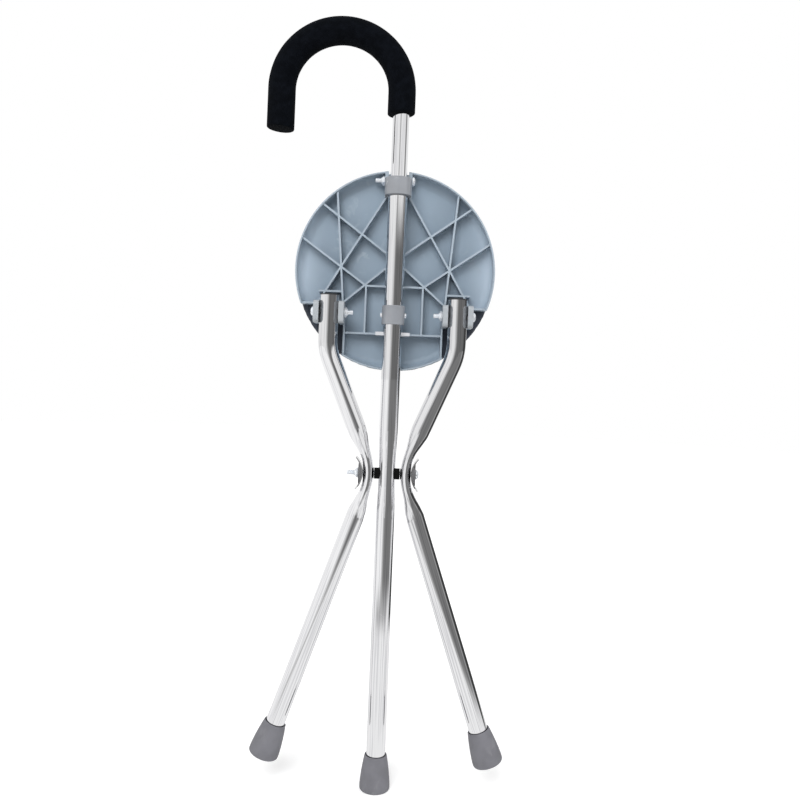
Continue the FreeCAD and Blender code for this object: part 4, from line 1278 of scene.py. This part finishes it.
@dataclass
class Studio:
    """A pale floor, soft lamps, surroundings for the polished tubes, and the camera."""

    floor_radius: float = 6.0
    floor_level: float = 0.82
    glow_span: Span = (0.15, 0.8)
    glow_levels: Span = (0.36, 0.8)
    mirrored_levels: Span = (0.92, 0.3)
    wall_radius: float = 0.55
    wall_height: float = 0.47
    round_sides: int = 128
    room_light: float = 0.5
    aim: tuple[float, float, float] = (0.0, 0.0, 0.5)
    lamps: tuple[Lamp, ...] = (
        Lamp("lamp_front", (-0.5, -2.0, 1.9), size=1.4, watts=48.0),
        Lamp("lamp_left", (-2.0, -0.9, 1.1), size=1.2, watts=7.0),
        Lamp("lamp_right", (2.0, -0.7, 1.0), size=0.9, watts=18.0),
    )
    camera_distance: float = 0.95
    camera_x: float = 0.0106
    framed_height: float = 0.4507
    camera_rise: float = 0.03
    camera_roll: float = math.radians(2.3)
    pixels_per_metre: float = 863.0
    frame_pixels: float = 800.0
    sensor: float = 36.0
    nearest: float = 0.01

    def build(self) -> None:
        """Builds the studio."""
        self.floor()
        self.near_wall()
        self.surroundings()
        for lamp in self.lamps:
            lamp.hang(Vector(self.aim))
        self.camera()

    @staticmethod
    def staged(mesh: bmesh.types.BMesh, name: str, paint: str) -> tuple[bpy.types.Object, NodeDesk]:
        """Turns a mesh into a piece of the studio with an empty material.

        Args:
            mesh: The mesh; it is freed.
            name: The piece's name.
            paint: The material's name.

        Returns:
            The piece and its material's node desk.
        """
        piece = mesh_object(mesh, name)
        made = bpy.data.materials.new(paint)
        made.use_nodes = True
        piece.data.materials.append(made)
        return piece, NodeDesk(made.node_tree)

    def floor(self) -> None:
        """Lays the floor, which is white to the camera and keeps the object's soft shadow."""
        mesh = bmesh.new()
        bmesh.ops.create_circle(mesh, cap_ends=True, segments=self.round_sides, radius=self.floor_radius)
        _, desk = self.staged(mesh, "studio_floor", "white floor")
        distance = desk.add("ShaderNodeVectorMath", {0: desk.here()}, operation="LENGTH").outputs["Value"]
        path = desk.add("ShaderNodeLightPath").outputs
        fill = desk.ramp(distance, *self.glow_span, *self.glow_levels)
        color = (*grey(self.floor_level), 1.0)
        paint = desk.add("ShaderNodeBsdfDiffuse", {"Color": color}).outputs[0]
        glow = desk.add("ShaderNodeEmission", {"Strength": fill}).outputs[0]
        seen = desk.add("ShaderNodeAddShader", {0: paint, 1: glow}).outputs[0]
        level = desk.ramp(distance, self.wall_radius, self.wall_radius * 2.0, *self.mirrored_levels)
        mirrored = desk.add("ShaderNodeEmission", {"Strength": level}).outputs[0]
        plain = desk.choose(path["Is Camera Ray"], paint, seen)
        surface = desk.choose(path["Is Glossy Ray"], plain, mirrored)
        desk.add("ShaderNodeOutputMaterial", {"Surface": surface})

    def near_wall(self) -> None:
        """Stands a low round wall about the object that only polished metal sees."""
        mesh = bmesh.new()
        bmesh.ops.create_circle(mesh, segments=self.round_sides, radius=self.wall_radius)
        raised = bmesh.ops.extrude_edge_only(mesh, edges=mesh.edges[:])["geom"]
        bmesh.ops.translate(mesh, verts=verts_of(raised), vec=(0.0, 0.0, self.wall_height))
        wall, desk = self.staged(mesh, "near_wall", "near wall levels")
        for ray in ("camera", "diffuse", "shadow", "transmission"):
            setattr(wall, f"visible_{ray}", False)
        level = self.stacked(desk, desk.split(desk.here()), (PAPER, PAPER_EDGE, LOW_ROOM))
        glow = desk.add("ShaderNodeEmission", {"Color": level}).outputs[0]
        desk.add("ShaderNodeOutputMaterial", {"Surface": glow})

    @staticmethod
    def stacked(desk: NodeDesk, parts: Any, storeys: tuple[RoomStorey, ...]) -> Socket:
        """Piles storeys up, each fading in over the ones below it.

        Args:
            desk: The node desk.
            parts: The X, Y and Z sockets of a direction or a place.
            storeys: The storeys from the lowest up.

        Returns:
            The colour.
        """
        angle = desk.math("ARCTAN2", parts[0], desk.math("MULTIPLY", parts[1], -1.0))
        turn = desk.math("MULTIPLY", angle, math.degrees(1.0))
        level = storeys[0].brightness(desk, turn)
        for storey in storeys[1:]:
            level = desk.blend(desk.ramp(parts[2], *storey.fade), level, storey.brightness(desk, turn))
        return level

    def surroundings(self) -> None:
        """Sets the room: white to the camera, a soft light for the paint, a plain room for the tubes."""
        world = bpy.data.worlds.new("studio room")
        bpy.context.scene.world = world
        world.use_nodes = True
        desk = NodeDesk(world.node_tree)
        path = desk.add("ShaderNodeLightPath").outputs
        look = desk.add("ShaderNodeTexCoord").outputs["Generated"]
        room = self.stacked(desk, desk.split(look), (ROOM_WALL, CEILING))
        white = (*grey(1.0), 1.0)
        sight, for_paint, for_tubes = (
            desk.add("ShaderNodeBackground", {"Color": color, "Strength": strength}).outputs[0]
            for color, strength in ((white, 1.0), (white, self.room_light), (room, 1.0))
        )
        matt = desk.choose(path["Is Glossy Ray"], for_paint, for_tubes)
        final = desk.choose(path["Is Camera Ray"], matt, sight)
        desk.add("ShaderNodeOutputWorld", {"Surface": final})

    def camera(self) -> None:
        """Sets the camera level in front of the folded stick, with the photograph's slight roll.

        The camera stands a little above the middle of the frame, and the shift frames the stick again.
        """
        data = bpy.data.cameras.new("camera")
        data.sensor_width = self.sensor
        data.lens = self.pixels_per_metre * self.camera_distance / self.frame_pixels * self.sensor
        data.shift_y = -self.camera_rise * self.pixels_per_metre / self.frame_pixels
        data.clip_start = self.nearest
        eye = new_object("camera", data)
        place = Vector((self.camera_x, -self.camera_distance, self.framed_height + self.camera_rise))
        turn = Matrix.Rotation(math.radians(90.0), 4, "X") @ Matrix.Rotation(self.camera_roll, 4, "Z")
        eye.matrix_world = Matrix.Translation(place) @ turn
        bpy.context.scene.camera = eye
        bpy.context.scene.view_settings.view_transform = "Standard"


def main() -> None:
    """Builds the parts of the object in order, then the studio."""
    logging.basicConfig(level=logging.INFO, format="%(name)s: %(message)s")
    Stick().build()
    SideLegs().build()
    Seat().build()
    Studio().build()


if __name__ == "__main__":
    main()
